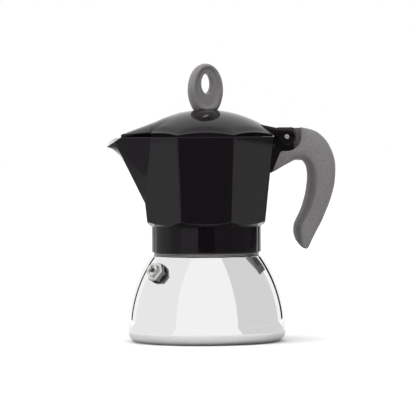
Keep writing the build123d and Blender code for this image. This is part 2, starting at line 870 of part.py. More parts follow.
arm_outline = [
    (arm_start, lid_foot),
    (arm_start, pin_height + arm_start_rise),
    (pin_offset - arm_shoulder, pin_height + arm_crown),
    (pin_offset, pin_height + ear_crown),
    (pin_offset, lid_foot),
]
boss_foot = dome_top - lid_wall - knob_boss_height
with BuildPart() as lid:
    outside = dome_form(lid_foot, 0) + nose_form(nose_foot, 0)
    hollow = dome_form(lid_foot - lid_wall, lid_wall) + nose_form(lid_foot - lid_wall, lid_wall)
    add(outside - hollow)
    add(disc(Plane.XY, boss_foot, dome_top - lid_wall / 2, knob_boss_diameter / 2))
    # Fork: an arm and an ear on each side of the lug
    for flank in (-1, 1):
        with BuildSketch(upright(0, flank * (ear_inner + ear_thickness / 2), 0)):
            with BuildLine():
                Polyline(*arm_outline, close=True)
            make_face()
            with Locations((pin_offset, pin_height)):
                Circle(ear_radius)
        extrude(amount=ear_thickness / 2, both=True)
    with BuildSketch(pin_plane):
        Circle(fork_swing_radius)
    extrude(amount=ear_inner, both=True, mode=Mode.SUBTRACT)
    with BuildSketch(pin_plane):
        Circle(pin_diameter / 2 + pin_running_gap)
    extrude(amount=handle_width, both=True, mode=Mode.SUBTRACT)
    add(disc(Plane.XY, boss_foot, dome_top, screw_radius), mode=Mode.SUBTRACT)

# Knob: an egg-shaped ring that sits on the dome, turned a little off the pot's own line
turn = radians(knob_turn)
knob_plane = Plane(
    origin=(0, 0, dome_top),
    x_dir=(cos(turn), sin(turn), 0),
    z_dir=(sin(turn), -cos(turn), 0),
)
knob_screw_top = dome_top + knob_screw_reach
with BuildPart() as knob:
    with BuildSketch(knob_plane):
        with BuildLine():
            side = Spline(
                (knob_foot_width / 2, -lid_wall / 2),
                (knob_width / 2, knob_height * knob_waist_share),
                (knob_width * knob_shoulder_share, knob_height * knob_shoulder_rise),
                (0, knob_height),
                tangents=((knob_foot_lean, 1), (-1, 0)),
            )
            Line((0, -lid_wall / 2), side @ 0)
            mirror(about=Plane.YZ)
        make_face()
        with Locations((0, knob_hole_rise)):
            Ellipse(knob_hole_width / 2, knob_hole_height / 2, mode=Mode.SUBTRACT)
    extrude(amount=knob_depth / 2, both=True)
    fillet(knob.edges().filter_by(GeomType.BSPLINE), knob_round)
    fillet(knob.edges().filter_by(GeomType.ELLIPSE), knob_hole_round)
    with Locations((0, 0, dome_centre)):
        Sphere(dome_radius, mode=Mode.SUBTRACT)
    add(disc(Plane.XY, boss_foot, knob_screw_top, screw_radius), mode=Mode.SUBTRACT)

washer_foot = boss_foot - knob_washer_height
with BuildPart() as knob_washer:
    add(disc(Plane.XY, washer_foot, boss_foot, knob_washer_diameter / 2, screw_radius + bond_gap))

with BuildPart() as knob_screw:
    add(disc(Plane.XY, washer_foot, knob_screw_top, screw_radius))
    add(disc(Plane.XY, washer_foot - screw_head_height, washer_foot, screw_head_diameter / 2))
    chamfer(knob_screw.edges().group_by(Axis.Z)[0], screw_head_height / 3)

os.makedirs("parts", exist_ok=True)
finished = {
    "boiler_shell": boiler_shell,
    "boiler_liner": boiler_liner,
    "valve_washer": valve_washer,
    "valve_body": valve_body,
    "valve_cap": valve_cap,
    "valve_seal": valve_seal,
    "valve_stem": valve_stem,
    "valve_spring": valve_spring,
    "funnel": funnel,
    "funnel_screen": funnel_screen,
    "gasket": gasket,
    "filter_plate": filter_plate,
    "collector": collector,
    "collar": collar,
    "riser_column": riser_column,
    "hinge_lug": hinge_lug,
    "hinge_pin": hinge_pin,
    "handle": handle,
    "handle_screw": handle_screw,
    "lid": lid,
    "knob": knob,
    "knob_washer": knob_washer,
    "knob_screw": knob_screw,
}
for name, piece in finished.items():
    piece.part.label = name
    export_step(piece.part, f"parts/{name}.step")
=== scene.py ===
"""Looks of a stovetop moka pot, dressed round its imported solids."""

import json
import logging
import math
from collections.abc import Sequence
from dataclasses import dataclass, field
from enum import Enum

import bmesh
import bpy
import numpy as np
from mathutils import Matrix, Vector


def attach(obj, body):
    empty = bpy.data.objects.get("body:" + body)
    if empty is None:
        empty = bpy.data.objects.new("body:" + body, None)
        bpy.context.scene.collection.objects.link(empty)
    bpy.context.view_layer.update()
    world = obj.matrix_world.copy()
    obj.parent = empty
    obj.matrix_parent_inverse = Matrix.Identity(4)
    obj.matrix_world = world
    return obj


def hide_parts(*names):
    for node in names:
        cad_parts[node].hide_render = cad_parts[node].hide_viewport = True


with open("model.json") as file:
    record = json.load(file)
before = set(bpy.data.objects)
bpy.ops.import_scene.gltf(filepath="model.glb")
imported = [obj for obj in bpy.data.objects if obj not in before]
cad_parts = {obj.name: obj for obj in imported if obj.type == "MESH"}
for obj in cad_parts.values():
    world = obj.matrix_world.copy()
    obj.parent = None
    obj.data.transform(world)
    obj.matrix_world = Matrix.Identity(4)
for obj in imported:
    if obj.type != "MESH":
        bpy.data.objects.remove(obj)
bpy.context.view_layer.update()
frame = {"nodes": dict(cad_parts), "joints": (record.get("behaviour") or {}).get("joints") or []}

LOG = logging.getLogger("moka_pot")
MM = 0.001
WELD = 2e-6
TINY = 1e-9
SPOUT_SIDE = math.pi
FACETS = 8
FACET_ANGLE = 2 * math.pi / FACETS
# How crisp the corners of the eight sides are
CORNER_POWER = 240.0
# Values between which a noise texture mostly stays
NOISE_LOW, NOISE_HIGH = 0.3, 0.7
# Steps round a rolled edge
ROLL = np.radians([0, 22, 45, 68, 90])[:, None]
JOINTS = {joint["name"]: joint for joint in frame["joints"]}
VALVE_AXIS = tuple(JOINTS["valve_lift"]["axis"])
# X and Z of the lid's hinge
HINGE = tuple(JOINTS["lid_hinge"]["pos_m"][axis] / MM for axis in (0, 2))
RIM = 132.5
# X and Z of the two ends of the pouring lip's edge
LIP_START = (-54.6, RIM)
LIP_END = (-64.3, 126.2)
Outline = tuple[tuple[float, ...], ...]


def linear(code: str) -> tuple[float, float, float, float]:
    """Turns an sRGB hex value into linear light.

    Args:
        code: a hash and six hex digits.

    Returns:
        Red, green and blue in linear light, with an alpha of 1.
    """
    values = np.array([int(code[i:i + 2], 16) / 255 for i in (1, 3, 5)])
    curve = np.where(values <= 0.04045, values / 12.92, ((values + 0.055) / 1.055) ** 2.4)
    return (*curve.tolist(), 1.0)


def add(tree: bpy.types.NodeTree, kind: str, settings: dict | None = None,
        links: dict | None = None) -> bpy.types.Node:
    """Adds a node, sets it and links it.

    Args:
        tree: the tree that gets the node.
        kind: Blender's name of the node type.
        settings: values by name; a capital or a number names a socket, other names are properties.
        links: output sockets by the name or number of the socket they feed.

    Returns:
        The new node.
    """
    node = tree.nodes.new(kind)
    for name, value in (settings or {}).items():
        if isinstance(name, int) or name[0].isupper():
            node.inputs[name].default_value = value
        else:
            setattr(node, name, value)
    for name, source in (links or {}).items():
        tree.links.new(source, node.inputs[name])
    return node


def new_material(
    name: str,
) -> tuple[bpy.types.Material, bpy.types.NodeTree, bpy.types.Node, bpy.types.NodeSocket]:
    """Starts a material that has one shader.

    Args:
        name: the material's name.

    Returns:
        The material, its tree, its Principled shader and the Object coordinates.
    """
    material = bpy.data.materials.new(name)
    material.use_nodes = True
    tree = material.node_tree
    shader = tree.nodes["Principled BSDF"]
    coordinates = add(tree, "ShaderNodeTexCoord").outputs["Object"]
    return material, tree, shader, coordinates


def cycles_per_metre(size_mm: float) -> float:
    """Noise scale that gives features of a real size in millimetres."""
    return 1 / (size_mm * MM)


def clouds(tree: bpy.types.NodeTree, place: bpy.types.NodeSocket, size_mm: float, ends: tuple[float, float],
           detail: float = 3.0) -> bpy.types.NodeSocket:
    """A value that drifts over the surface in soft clouds.

    Args:
        tree: the material's tree.
        place: Object coordinates.
        size_mm: size of the clouds.
        ends: the values between which it drifts.
        detail: how many finer layers the clouds have.

    Returns:
        The drifting value.
    """
    noise = add(tree, "ShaderNodeTexNoise", {"Scale": cycles_per_metre(size_mm), "Detail": detail},
                {"Vector": place})
    return add(tree, "ShaderNodeMapRange", {"From Min": NOISE_LOW, "From Max": NOISE_HIGH, "To Min": ends[0],
               "To Max": ends[1]}, {"Value": noise.outputs[0]}).outputs[0]


def put(name: str, data: bpy.types.ID) -> bpy.types.Object:
    """Puts new data into the scene.

    Args:
        name: the object's name.
        data: its mesh, camera or light.

    Returns:
        The object, at the origin.
    """
    thing = bpy.data.objects.new(name, data)
    bpy.context.scene.collection.objects.link(thing)
    return thing


class Grain(Enum):
    """How a metal surface was finished."""

    LATHE = "rings round the pot's axis"
    FINE = "an even grain"


@dataclass(frozen=True)
class Metal:
    """A bare metal: its colour, its range of gloss and the marks its finishing left."""

    name: str
    colour: str
    gloss: float
    dull: float
    grain: Grain
    grain_mm: float
    depth_mm: float
    cloud_mm: float = 16.0
    # Colour of the painted shade on the faces that run along the axis
    flats: str | None = None
    axis: tuple[float, ...] = (0.0, 0.0, 1.0)
    # Cosines to the axis between which a face goes from flat to end: the mask of the painted shade on the
    # flats
    painted_shade_turn: tuple[float, float] = (0.45, 0.8)

    def make(self) -> bpy.types.Material:
        """Builds the material.

        Returns:
            A metal whose roughness drifts in soft clouds, with fine finishing marks in its bump, and
            where it has flats, darker on the faces that run along its axis.
        """
        material, tree, shader, place = new_material(self.name)
        shader.inputs["Base Color"].default_value = linear(self.colour)
        # Painted shade: faces that run along the axis take the darker flats colour
        if self.flats:
            facing = add(tree, "ShaderNodeVectorMath", {"operation": "DOT_PRODUCT", 1: self.axis},
                         {0: add(tree, "ShaderNodeTexCoord").outputs["Normal"]})
            level = add(tree, "ShaderNodeMapRange", {"From Min": self.painted_shade_turn[0],
                        "From Max": self.painted_shade_turn[1]}, {"Value": facing.outputs[1]})
            colour = add(tree, "ShaderNodeMix", {"data_type": "RGBA", 6: linear(self.flats),
                         7: linear(self.colour)}, {0: level.outputs[0]})
            tree.links.new(colour.outputs[2], shader.inputs["Base Color"])
        shader.inputs["Metallic"].default_value = 1.0
        gloss = clouds(tree, place, self.cloud_mm, (self.gloss, self.dull))
        tree.links.new(gloss, shader.inputs["Roughness"])
        settings = {"Scale": cycles_per_metre(self.grain_mm), "Detail": 2.0}
        if self.grain is Grain.LATHE:
            split = add(tree, "ShaderNodeSeparateXYZ", None, {0: place})
            flat = add(tree, "ShaderNodeCombineXYZ", None, {0: split.outputs[0], 1: split.outputs[1]})
            away = add(tree, "ShaderNodeVectorMath", {"operation": "LENGTH"}, {0: flat.outputs[0]})
            along = add(tree, "ShaderNodeMath", {"operation": "ADD"},
                        {0: away.outputs[1], 1: split.outputs[2]})
            marks = add(tree, "ShaderNodeTexNoise", {"noise_dimensions": "1D", **settings},
                        {"W": along.outputs[0]})
        else:
            marks = add(tree, "ShaderNodeTexNoise", settings, {"Vector": place})
        bump = add(tree, "ShaderNodeBump", {"Strength": 1.0, "Distance": self.depth_mm * MM},
                   {"Height": marks.outputs[0]})
        tree.links.new(bump.outputs[0], shader.inputs["Normal"])
        return material


@dataclass(frozen=True)
class Lacquer:
    """Glossy sprayed lacquer, left off the bare metal of the pouring lip."""

    name: str
    colour: str
    bare: str
    ior: float
    gloss: float
    dull: float
    peel_mm: float
    peel_depth_mm: float
    bare_gloss: float
    cloud_mm: float = 22.0

    def make(self) -> bpy.types.Material:
        """Builds the material.

        Returns:
            A black lacquer with a faint orange peel, and bare metal beyond the straight line that
            joins the lip's two ends in the X Z plane.
        """
        material, tree, shader, place = new_material(self.name)
        shader.inputs["IOR"].default_value = self.ior
        split = add(tree, "ShaderNodeSeparateXYZ", None, {0: place})
        run = (LIP_END[0] - LIP_START[0], LIP_END[1] - LIP_START[1])
        across = add(tree, "ShaderNodeMath", {"operation": "MULTIPLY_ADD", 1: run[1],
                     2: (run[0] * LIP_START[1] - run[1] * LIP_START[0]) * MM}, {0: split.outputs[0]})
        side = add(tree, "ShaderNodeMath", {"operation": "MULTIPLY_ADD", 1: -run[0]},
                   {0: split.outputs[2], 2: across.outputs[0]})
        beyond = add(tree, "ShaderNodeMath", {"operation": "GREATER_THAN", 1: 0.0}, {0: side.outputs[0]})
        outer = add(tree, "ShaderNodeMath", {"operation": "LESS_THAN", 1: LIP_START[0] * MM},
                    {0: split.outputs[0]})
        lip = add(tree, "ShaderNodeMath", {"operation": "MULTIPLY"},
                  {0: beyond.outputs[0], 1: outer.outputs[0]})
        colour = add(tree, "ShaderNodeMix", {"data_type": "RGBA", 6: linear(self.colour),
                     7: linear(self.bare)}, {0: lip.outputs[0]})
        rough = add(tree, "ShaderNodeMix", {"data_type": "FLOAT", 3: self.bare_gloss},
                    {0: lip.outputs[0], 2: clouds(tree, place, self.cloud_mm, (self.gloss, self.dull))})
        peel = add(tree, "ShaderNodeTexNoise", {"Scale": cycles_per_metre(self.peel_mm), "Detail": 1.0},
                   {"Vector": place})
        bump = add(tree, "ShaderNodeBump", {"Strength": 1.0, "Distance": self.peel_depth_mm * MM},
                   {"Height": peel.outputs[0]})
        tree.links.new(colour.outputs[2], shader.inputs["Base Color"])
        tree.links.new(lip.outputs[0], shader.inputs["Metallic"])
        tree.links.new(rough.outputs[0], shader.inputs["Roughness"])
        tree.links.new(bump.outputs[0], shader.inputs["Normal"])
        return material


@dataclass(frozen=True)
class Moulding:
    """A moulded plastic or rubber with a fine speckle and a matt grain."""

    name: str
    shade: str
    light: str
    ior: float
    gloss: float
    dull: float
    speckle_mm: float
    depth_mm: float
    cloud_mm: float = 14.0

    def make(self) -> bpy.types.Material:
        """Builds the material.

        Returns:
            A matt moulding whose colour and bump follow the same fine grain.
        """
        material, tree, shader, place = new_material(self.name)
        shader.inputs["IOR"].default_value = self.ior
        speckle = add(tree, "ShaderNodeTexNoise", {"Scale": cycles_per_metre(self.speckle_mm), "Detail": 4.0,
                      "Roughness": 0.7}, {"Vector": place})
        level = add(tree, "ShaderNodeMapRange", {"From Min": NOISE_LOW, "From Max": NOISE_HIGH},
                    {"Value": speckle.outputs[0]})
        colour = add(tree, "ShaderNodeMix",
                     {"data_type": "RGBA", 6: linear(self.shade), 7: linear(self.light)},
                     {0: level.outputs[0]})
        gloss = clouds(tree, place, self.cloud_mm, (self.gloss, self.dull), detail=2.0)
        bump = add(tree, "ShaderNodeBump", {"Strength": 1.0, "Distance": self.depth_mm * MM},
                   {"Height": speckle.outputs[0]})
        tree.links.new(colour.outputs[2], shader.inputs["Base Color"])
        tree.links.new(gloss, shader.inputs["Roughness"])
        tree.links.new(bump.outputs[0], shader.inputs["Normal"])
        return material


@dataclass
class Finishes:
    """Every material of the pot, made once."""

    steel: bpy.types.Material
    aluminium: bpy.types.Material
    liner: bpy.types.Material
    valve: bpy.types.Material
    nut: bpy.types.Material
    washer: bpy.types.Material
    fastener: bpy.types.Material
    lacquer: bpy.types.Material
    grip: bpy.types.Material
    silicone: bpy.types.Material

    @classmethod
    def make(cls) -> "Finishes":
        """Builds the set.

        Returns:
            The pot's finishes, each named for its material and how its surface was made.
        """
        return cls(
            # Stainless steel, mirror polished: clear reflections with hardly a trace of the mop
            steel=Metal("stainless_steel_mirror_polished", "#F1F1F1", 0.02, 0.045, Grain.LATHE, 1.2,
                        0.0002).make(),
            # Cast aluminium, turned: satin grey with rings from the lathe, drawn coarse enough to show
            aluminium=Metal("aluminium_turned", "#C8C8C5", 0.28, 0.4, Grain.LATHE, 0.6, 0.012).make(),
            # Die-cast aluminium: a darker grey than where it is turned, painted shade for the ring in the
            # shadowed gap under the collar
            liner=Metal("aluminium_die_cast_painted_shade", "#8C8C8A", 0.2, 0.3, Grain.LATHE, 0.6, 0.012).make(),
            # Nickel-plated brass, turned: bright with an even grain, and painted shade that darkens the faces
            # running along the valve's axis
            valve=Metal("nickel_plated_brass_turned", "#DDDCDA", 0.1, 0.18, Grain.FINE, 0.5, 0.004, 4.0,
                        "#A7A6A4", VALVE_AXIS).make(),
            # Nickel-plated brass, milled: bright end face, and painted shade that darkens the flats
            nut=Metal("nickel_plated_brass_milled", "#E3E2E0", 0.1, 0.18, Grain.FINE, 0.5, 0.004, 4.0,
                      "#747372", VALVE_AXIS).make(),
            # Steel, nearly black with a dull sheen: painted shade for the dark band between the valve's hex
            # and the shell
            washer=Metal("steel_black_painted_shade", "#383838", 0.25, 0.35, Grain.FINE, 0.5, 0.004, 4.0).make(),
            # Zinc-plated steel: bright, a little clouded
            fastener=Metal("steel_zinc_plated", "#D2D2D0", 0.16, 0.3, Grain.FINE, 0.4, 0.004, 5.0).make(),
            # Black lacquer on cast aluminium, sprayed and baked: deep gloss with a faint orange peel
            lacquer=Lacquer("black_lacquer_sprayed", "#0F0B0F", "#F2F2F0", 1.36, 0.03, 0.06, 3.0, 0.0012,
                            0.25).make(),
            # Soft-touch polyamide, moulded: matt grey with a fine speckle
            grip=Moulding("polyamide_soft_touch_moulded", "#5E5B5C", "#797677", 1.46, 0.36, 0.46, 0.7,
                          0.02).make(),
            # Silicone rubber, moulded: pale and matt
            silicone=Moulding("silicone_rubber_moulded", "#D9D5CB", "#E4E0D6", 1.41, 0.5, 0.62, 0.9,
                              0.01).make(),
        )


@dataclass
class Shell:
    """Grids in millimetres, gathered and welded into one mesh."""

    points: list[np.ndarray] = field(default_factory=list)
    faces: list[list[int]] = field(default_factory=list)
    finishes: list[int] = field(default_factory=list)
    size: int = 0
    # Depth of a soft step along an edge, as a share of its width
    step_depth: float = 0.8
    # Points from an edge's foot to its head
    edge_points: int = 14

    def grid(self, surface: np.ndarray, finish: int = 0, around: bool = False) -> None:
        """Adds a grid of quads.

        Args:
            surface: points by row and column.
            finish: number of the material.
            around: whether the last column joins the first.
        """
        rows, columns = surface.shape[:2]
        index = np.arange(rows * columns).reshape(rows, columns) + self.size
        if around:
            index = np.concatenate([index, index[:, :1]], axis=1)
        corners = [index[:-1, :-1], index[:-1, 1:], index[1:, 1:], index[1:, :-1]]
        quads = np.stack(corners, axis=-1).reshape(-1, 4)
        self.points.append(surface.reshape(-1, 3))
        self.faces.extend(quads.tolist())
        self.finishes.extend([finish] * len(quads))
        self.size += rows * columns

    def cap(self, loop: np.ndarray) -> None:
        """Adds one flat face with many corners, in the first material.

        Args:
            loop: its corners in order.
        """
        self.points.append(loop)
        self.faces.append(list(range(self.size, self.size + len(loop))))
        self.finishes.append(0)
        self.size += len(loop)

    def slab(self, outline: np.ndarray, low: float, high: float, rounding: float | np.ndarray,
             bevel: float | np.ndarray = 0.0) -> None:
        """Adds a plate along Y with rounded or bevelled edges.

        The outline is carried along Y. Near each end it is drawn in along its own normals: on a
        rounded quarter circle where bevel is 0, on a straight slope where it is 1, on a soft step,
        level at its foot and its head, where it is 2, and on a blend between.

        Args:
            outline: corners as X and Z, anticlockwise.
            low: lowest Y.
            high: highest Y.
            rounding: radius of the edges, for all corners or for each.
            bevel: shape of the edges, for all corners or for each.
        """
        ahead = np.roll(outline, -1, axis=0) - outline
        behind = outline - np.roll(outline, 1, axis=0)
        edge = ahead / np.linalg.norm(ahead, axis=1, keepdims=True)
        edge = edge + behind / np.linalg.norm(behind, axis=1, keepdims=True)
        inward = np.stack([-edge[:, 1], edge[:, 0]], axis=1)
        inward = inward / np.maximum(np.linalg.norm(inward, axis=1, keepdims=True), 1e-6)
        share = np.linspace(0, 1, self.edge_points)[:, None]
        kind, arc = np.broadcast_to(bevel, len(outline)), share * math.pi / 2
        convex, step = np.maximum(1 - kind, 0), np.maximum(kind - 1, 0)
        slope = 1 - convex - step
        draw = rounding * (convex * (1 - np.sin(arc)) + (slope + step) * (1 - share))
        rise = self.step_depth * share**3 * (10 - 15 * share + 6 * share**2)
        lift = rounding * (convex * (1 - np.cos(arc)) + slope * share + step * rise)
        drawn = np.concatenate([draw, draw[::-1]])
        depth = np.concatenate([low + lift, (high - lift)[::-1]])
        flat = outline[None] + inward[None] * drawn[..., None]
        surface = np.stack([flat[..., 0], depth, flat[..., 1]], axis=-1)
        self.grid(surface, around=True)
        self.cap(surface[0])
        self.cap(surface[-1])

    def piece(self, name: str, materials: Sequence[bpy.types.Material],
              crease: float = 32.0) -> bpy.types.Object:
        """Welds the grids into an object.

        Args:
            name: the piece's name.
            materials: its materials, by number.
            crease: angle in degrees over which an edge stays sharp.

        Returns:
            The object, at the origin, with its place in its mesh.
        """
        mesh = bpy.data.meshes.new(name)
        mesh.from_pydata((np.concatenate(self.points) * MM).tolist(), [], self.faces)
        mesh.polygons.foreach_set("material_index", np.array(self.finishes, np.int32))
        for material in materials:
            mesh.materials.append(material)
        work = bmesh.new()
        work.from_mesh(mesh)
        bmesh.ops.remove_doubles(work, verts=work.verts, dist=WELD)
        bmesh.ops.dissolve_degenerate(work, edges=work.edges, dist=WELD)
        bmesh.ops.recalc_face_normals(work, faces=work.faces)
        work.to_mesh(mesh)
        work.free()
        mesh.polygons.foreach_set("use_smooth", np.ones(len(mesh.polygons), bool))
        mesh.set_sharp_from_angle(angle=math.radians(crease))
        LOG.info("%s: %d faces", name, len(mesh.polygons))
        return put(name, mesh)


def dress(material: bpy.types.Material, *nodes: str) -> None:
    """Gives CAD nodes a material.

    Args:
        material: the finish.
        nodes: names of the CAD nodes.
    """
    for node in nodes:
        slots = frame["nodes"][node].data.materials
        slots.clear()
        slots.append(material)
        LOG.info("%s: %s", node, material.name)


def seat(thing: bpy.types.Object, body: str, slot: str, *nodes: str) -> None:
    """Ties a piece to its body and hides the CAD nodes it stands for.

    Args:
        thing: the piece.
        body: the CAD body that carries it.
        slot: the record's material slot; not used.
        nodes: the CAD nodes that it stands for.
    """
    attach(thing, body)
    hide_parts(*nodes)


def smooth_max(one: np.ndarray, other: np.ndarray, width: float) -> np.ndarray:
    """The larger of two arrays, with the change from one to the other eased over a width."""
    return (one + other + np.sqrt((one - other) ** 2 + width**2)) / 2


def polar(angle: np.ndarray, radius: np.ndarray, height: np.ndarray) -> np.ndarray:
    """Points from an angle about the pot's axis, a radius and a height, broadcast together."""
    angle, radius, height = np.broadcast_arrays(angle, radius, height)
    return np.stack([radius * np.cos(angle), radius * np.sin(angle), height], axis=-1)


def ray_to_line(angle: np.ndarray, x0: np.ndarray, y0: np.ndarray, x1: np.ndarray,
                y1: np.ndarray) -> np.ndarray:
    """Distance from the axis along a direction to the line through two points.

    The distance is the cross product of the first point and the line's run, over the cross
    product of the direction and the run.

    Args:
        angle: directions about the axis.
        x0: X of the first point.
        y0: Y of the first point.
        x1: X of the second point.
        y1: Y of the second point.

    Returns:
        The distance in each direction.
    """
    run_x, run_y = x1 - x0, y1 - y0
    return (x0 * run_y - y0 * run_x) / (np.cos(angle) * run_y - np.sin(angle) * run_x)


def eight_sides(angle: np.ndarray, face: float | np.ndarray) -> np.ndarray:
    """Radius of an eight-sided outline with eased corners.

    One over the radius is the power mean of the eight facets' cosines over the distance of the
    flats, so a high power gives a crisp corner.

    Args:
        angle: directions about the axis.
        face: distance from the axis to the flats.

    Returns:
        The radius in each direction.
    """
    facets = np.arange(FACETS) * FACET_ANGLE
    cosines = np.maximum(np.cos(angle[..., None] - facets), 0)
    return face / (cosines**CORNER_POWER).sum(axis=-1) ** (1 / CORNER_POWER)


def facet_angles() -> np.ndarray:
    """Directions round the pot, close together at the eight corners and over the spout.

    Returns:
        Sorted angles from 0 to a full turn, without the last.
    """
    steps = np.radians([0, 0.12, 0.26, 0.42, 0.62, 0.9, 1.3, 2.0, 3.2, 5.5, 9.0, 14.0, 19.0])
    corners = (np.arange(FACETS) + 0.5) * FACET_ANGLE
    at_corners = (corners[:, None] + np.concatenate([-steps, steps])).ravel()
    # Fine near the tip, coarser out to the flanks, and two more at the corner beside the tip
    spread = np.radians(np.concatenate([np.arange(0, 6, 0.25), np.arange(6, 40, 0.75), [11.1, 11.4]]))
    at_spout = SPOUT_SIDE + np.concatenate([-spread, spread])
    middles = np.arange(FACETS) * FACET_ANGLE
    return np.unique(np.round(np.concatenate([at_corners, at_spout, middles]) % (2 * math.pi), 6))


@dataclass
class Collector:
    """The eight-sided bowl with its spout."""

    rim: float = RIM
    facet_height: float = 54.6
    rim_radius: float = 47.4
    foot_radius: float = 41.2
    wall: float = 3.0
    floor: float = 79.0
    ceiling: float = 75.0
    cone_low: float = 74.6
    cone_rise: float = 3.3
    collar_radius: float = 35.6
    gasket_seat: float = 31.6
    vault_radius: float = 23.0
    vault_height: float = 2.6
    riser_foot: float = 9.05
    riser_bore: float = 3.2
    spout_drop: float = 42.5
    spout_spread: float = 27.0
    keel_lean: float = 27.6
    nose_half: float = 7.0
    nose_set: float = 1.3
    nose_foot_share: float = 0.94
    flare_foot: float = 117.0
    lip_bulge: float = 2.4
    spout_wall: float = 2.2
    # Inside, the tip and the corners beside it draw in by more than the wall
    corner_inset: float = 1.4
    tip_inset: float = 1.6
    tip_ease_degrees: float = 0.3
    inner_ease: float = 0.12
    edge: float = 0.5
    levels: int = 400
    inside_rows: int = 60
    foot_steps: int = 12

    @property
    def spout_foot(self) -> float:
        """Height at which the spout starts to leave the facets."""
        return self.rim - self.spout_drop

    def face(self, height: np.ndarray) -> np.ndarray:
        """Distance from the axis to the flats at a height: it grows evenly from foot to rim."""
        draft = (self.rim_radius - self.foot_radius) / self.facet_height
        return (self.rim_radius - draft * (self.rim - height)) * math.cos(FACET_ANGLE / 2)

    def climbed(self, height: np.ndarray) -> np.ndarray:
        """Share of the way from the spout's foot to the rim."""
        return np.clip((height - self.spout_foot) / self.spout_drop, 0, 1)

    def keel(self, height: float | np.ndarray) -> float | np.ndarray:
        """X of the leaning line that the spout's tip follows."""
        lean = math.tan(math.radians(self.keel_lean))
        return -self.face(self.spout_foot) - lean * (height - self.spout_foot)

    def root(self, height: np.ndarray) -> tuple[np.ndarray, np.ndarray]:
        """The crease where flank and facet meet, on a straight line from foot to rim.

        Args:
            height: heights on the bowl.

        Returns:
            Its X and its half width.
        """
        start = self.face(self.spout_foot) * math.tan(FACET_ANGLE / 2)
        spread = start + (self.spout_spread - start) * self.climbed(height)
        return spread - self.face(height) / math.cos(math.pi / 4), spread

    def nose(self, height: np.ndarray) -> tuple[np.ndarray, np.ndarray]:
        """The corner between flank and tip, on a straight line from foot to rim.

        Args:
            height: heights on the bowl.

        Returns:
            Its X and its half width.
        """
        share = self.climbed(height)
        out = math.tan(math.radians(self.keel_lean)) * self.spout_drop - self.nose_set
        wide = self.face(self.spout_foot) * math.tan(FACET_ANGLE / 2) * self.nose_foot_share
        return -self.face(self.spout_foot) - out * share, wide + (self.nose_half - wide) * share

    def spout(self, angle: np.ndarray, height: np.ndarray, inset: float) -> np.ndarray:
        """Radius of the spout's flanks, zero away from it.

        At each height a straight flank runs from a root on the facets to a corner, and a second
        line from there to the tip. Root and corner move on straight lines from foot to rim, so the
        flank is nearly flat. The tip follows a leaning keel, and near the top a quarter of an
        ellipse flares it out into the beak.

        Args:
            angle: directions about the axis.
            height: heights on the bowl.
            inset: how far the flanks are drawn in.

        Returns:
            The radius in each direction and at each height.
        """
        root, spread = self.root(height)
        root = np.maximum(root, -self.face(height))
        beak = LIP_END[1]
        rise = np.clip((height - self.flare_foot) / (beak - self.flare_foot), 0, 1)
        lead = self.keel(beak) - LIP_END[0]
        flared = self.keel(height) - lead * (1 - np.sqrt(1 - rise**2))
        tip = np.minimum(flared, np.where(height > beak, LIP_END[0], 0))
        nose_x, nose_y = self.nose(height)
        nose_x, nose_y = nose_x + self.corner_inset * inset, nose_y - inset
        turn = np.hypot(angle - SPOUT_SIDE, math.radians(self.tip_ease_degrees))
        away = math.pi - turn
        side = ray_to_line(away, root + inset, spread - inset, nose_x, nose_y)
        point = ray_to_line(away, nose_x, nose_y, tip + self.tip_inset * inset, 0 * tip)
        along = np.where(turn > np.arctan2(nose_y, -nose_x), side, point)
        along = np.where(np.isfinite(along), along, 0)
        within = (turn < np.arctan2(spread - inset, -root - inset) + 1e-6) & (height > self.spout_foot)
        return np.where(within, np.clip(along, 0, -LIP_END[0]), 0)

    def turned(self, column: np.ndarray, height: np.ndarray) -> np.ndarray:
        """Direction of a column at a height.

        Beside the spout the columns of the two corners follow the crease between flank and facet, the
        columns halfway to them follow the corner at the tip, and the columns between spread evenly.

        Args:
            column: directions of the columns at the foot.
            height: heights on the bowl.

        Returns:
            The direction of each column at each height.
        """
        root, spread = self.root(height)
        crease = np.where(height > self.spout_foot, np.arctan2(spread, -root), FACET_ANGLE / 2)
        away = column - SPOUT_SIDE
        near = np.abs(away) / (FACET_ANGLE / 2)
        nose_x, nose_y = self.nose(height)
        corner = np.arctan2(nose_y, -nose_x)
        inner = np.where(near <= 0.5, 2 * corner * near, corner + (crease - corner) * (2 * near - 1))
        beyond = crease + (FACET_ANGLE - crease) * (near - 1)
        moved = np.where(near <= 1, inner, np.where(near <= 2, beyond, np.abs(away)))
        return SPOUT_SIDE + np.sign(away) * moved

    def radius(self, angle: np.ndarray, height: np.ndarray, wall: float, spout_wall: float) -> np.ndarray:
        """Radius of bowl and spout together, drawn in by their walls.

        Outside, the spout's flanks cut off the corners that the eight sides would have there.

        Args:
            angle: directions about the axis.
            height: heights on the bowl.
            wall: how far the eight sides are drawn in; 0 is the outside.
            spout_wall: how far the spout is drawn in.

        Returns:
            The radius in each direction and at each height.
        """
        sides = eight_sides(angle, self.face(height) - wall)
        flank = self.spout(angle, height, spout_wall)
        return np.where(flank > 0, flank, sides) if wall == 0 else smooth_max(sides, flank, self.inner_ease)

    def lip(self, x: np.ndarray) -> np.ndarray:
        """Height of the pouring lip: an arc over the lip's chord.

        Args:
            x: places towards the spout.

        Returns:
            The lip's height there, and the rim's height where there is no lip.
        """
        start, end = np.array(LIP_START), np.array(LIP_END)
        chord = end - start
        length = np.linalg.norm(chord)
        radius = (length**2 / 4 + self.lip_bulge**2) / (2 * self.lip_bulge)
        out = np.array([chord[1], -chord[0]]) / length
        middle = (start + end) / 2 + out * (self.lip_bulge - radius)
        drop = np.sqrt(np.maximum(radius**2 - (x - middle[0]) ** 2, 0))
        return np.where(x < start[0], np.minimum(middle[1] + drop, self.rim), self.rim)

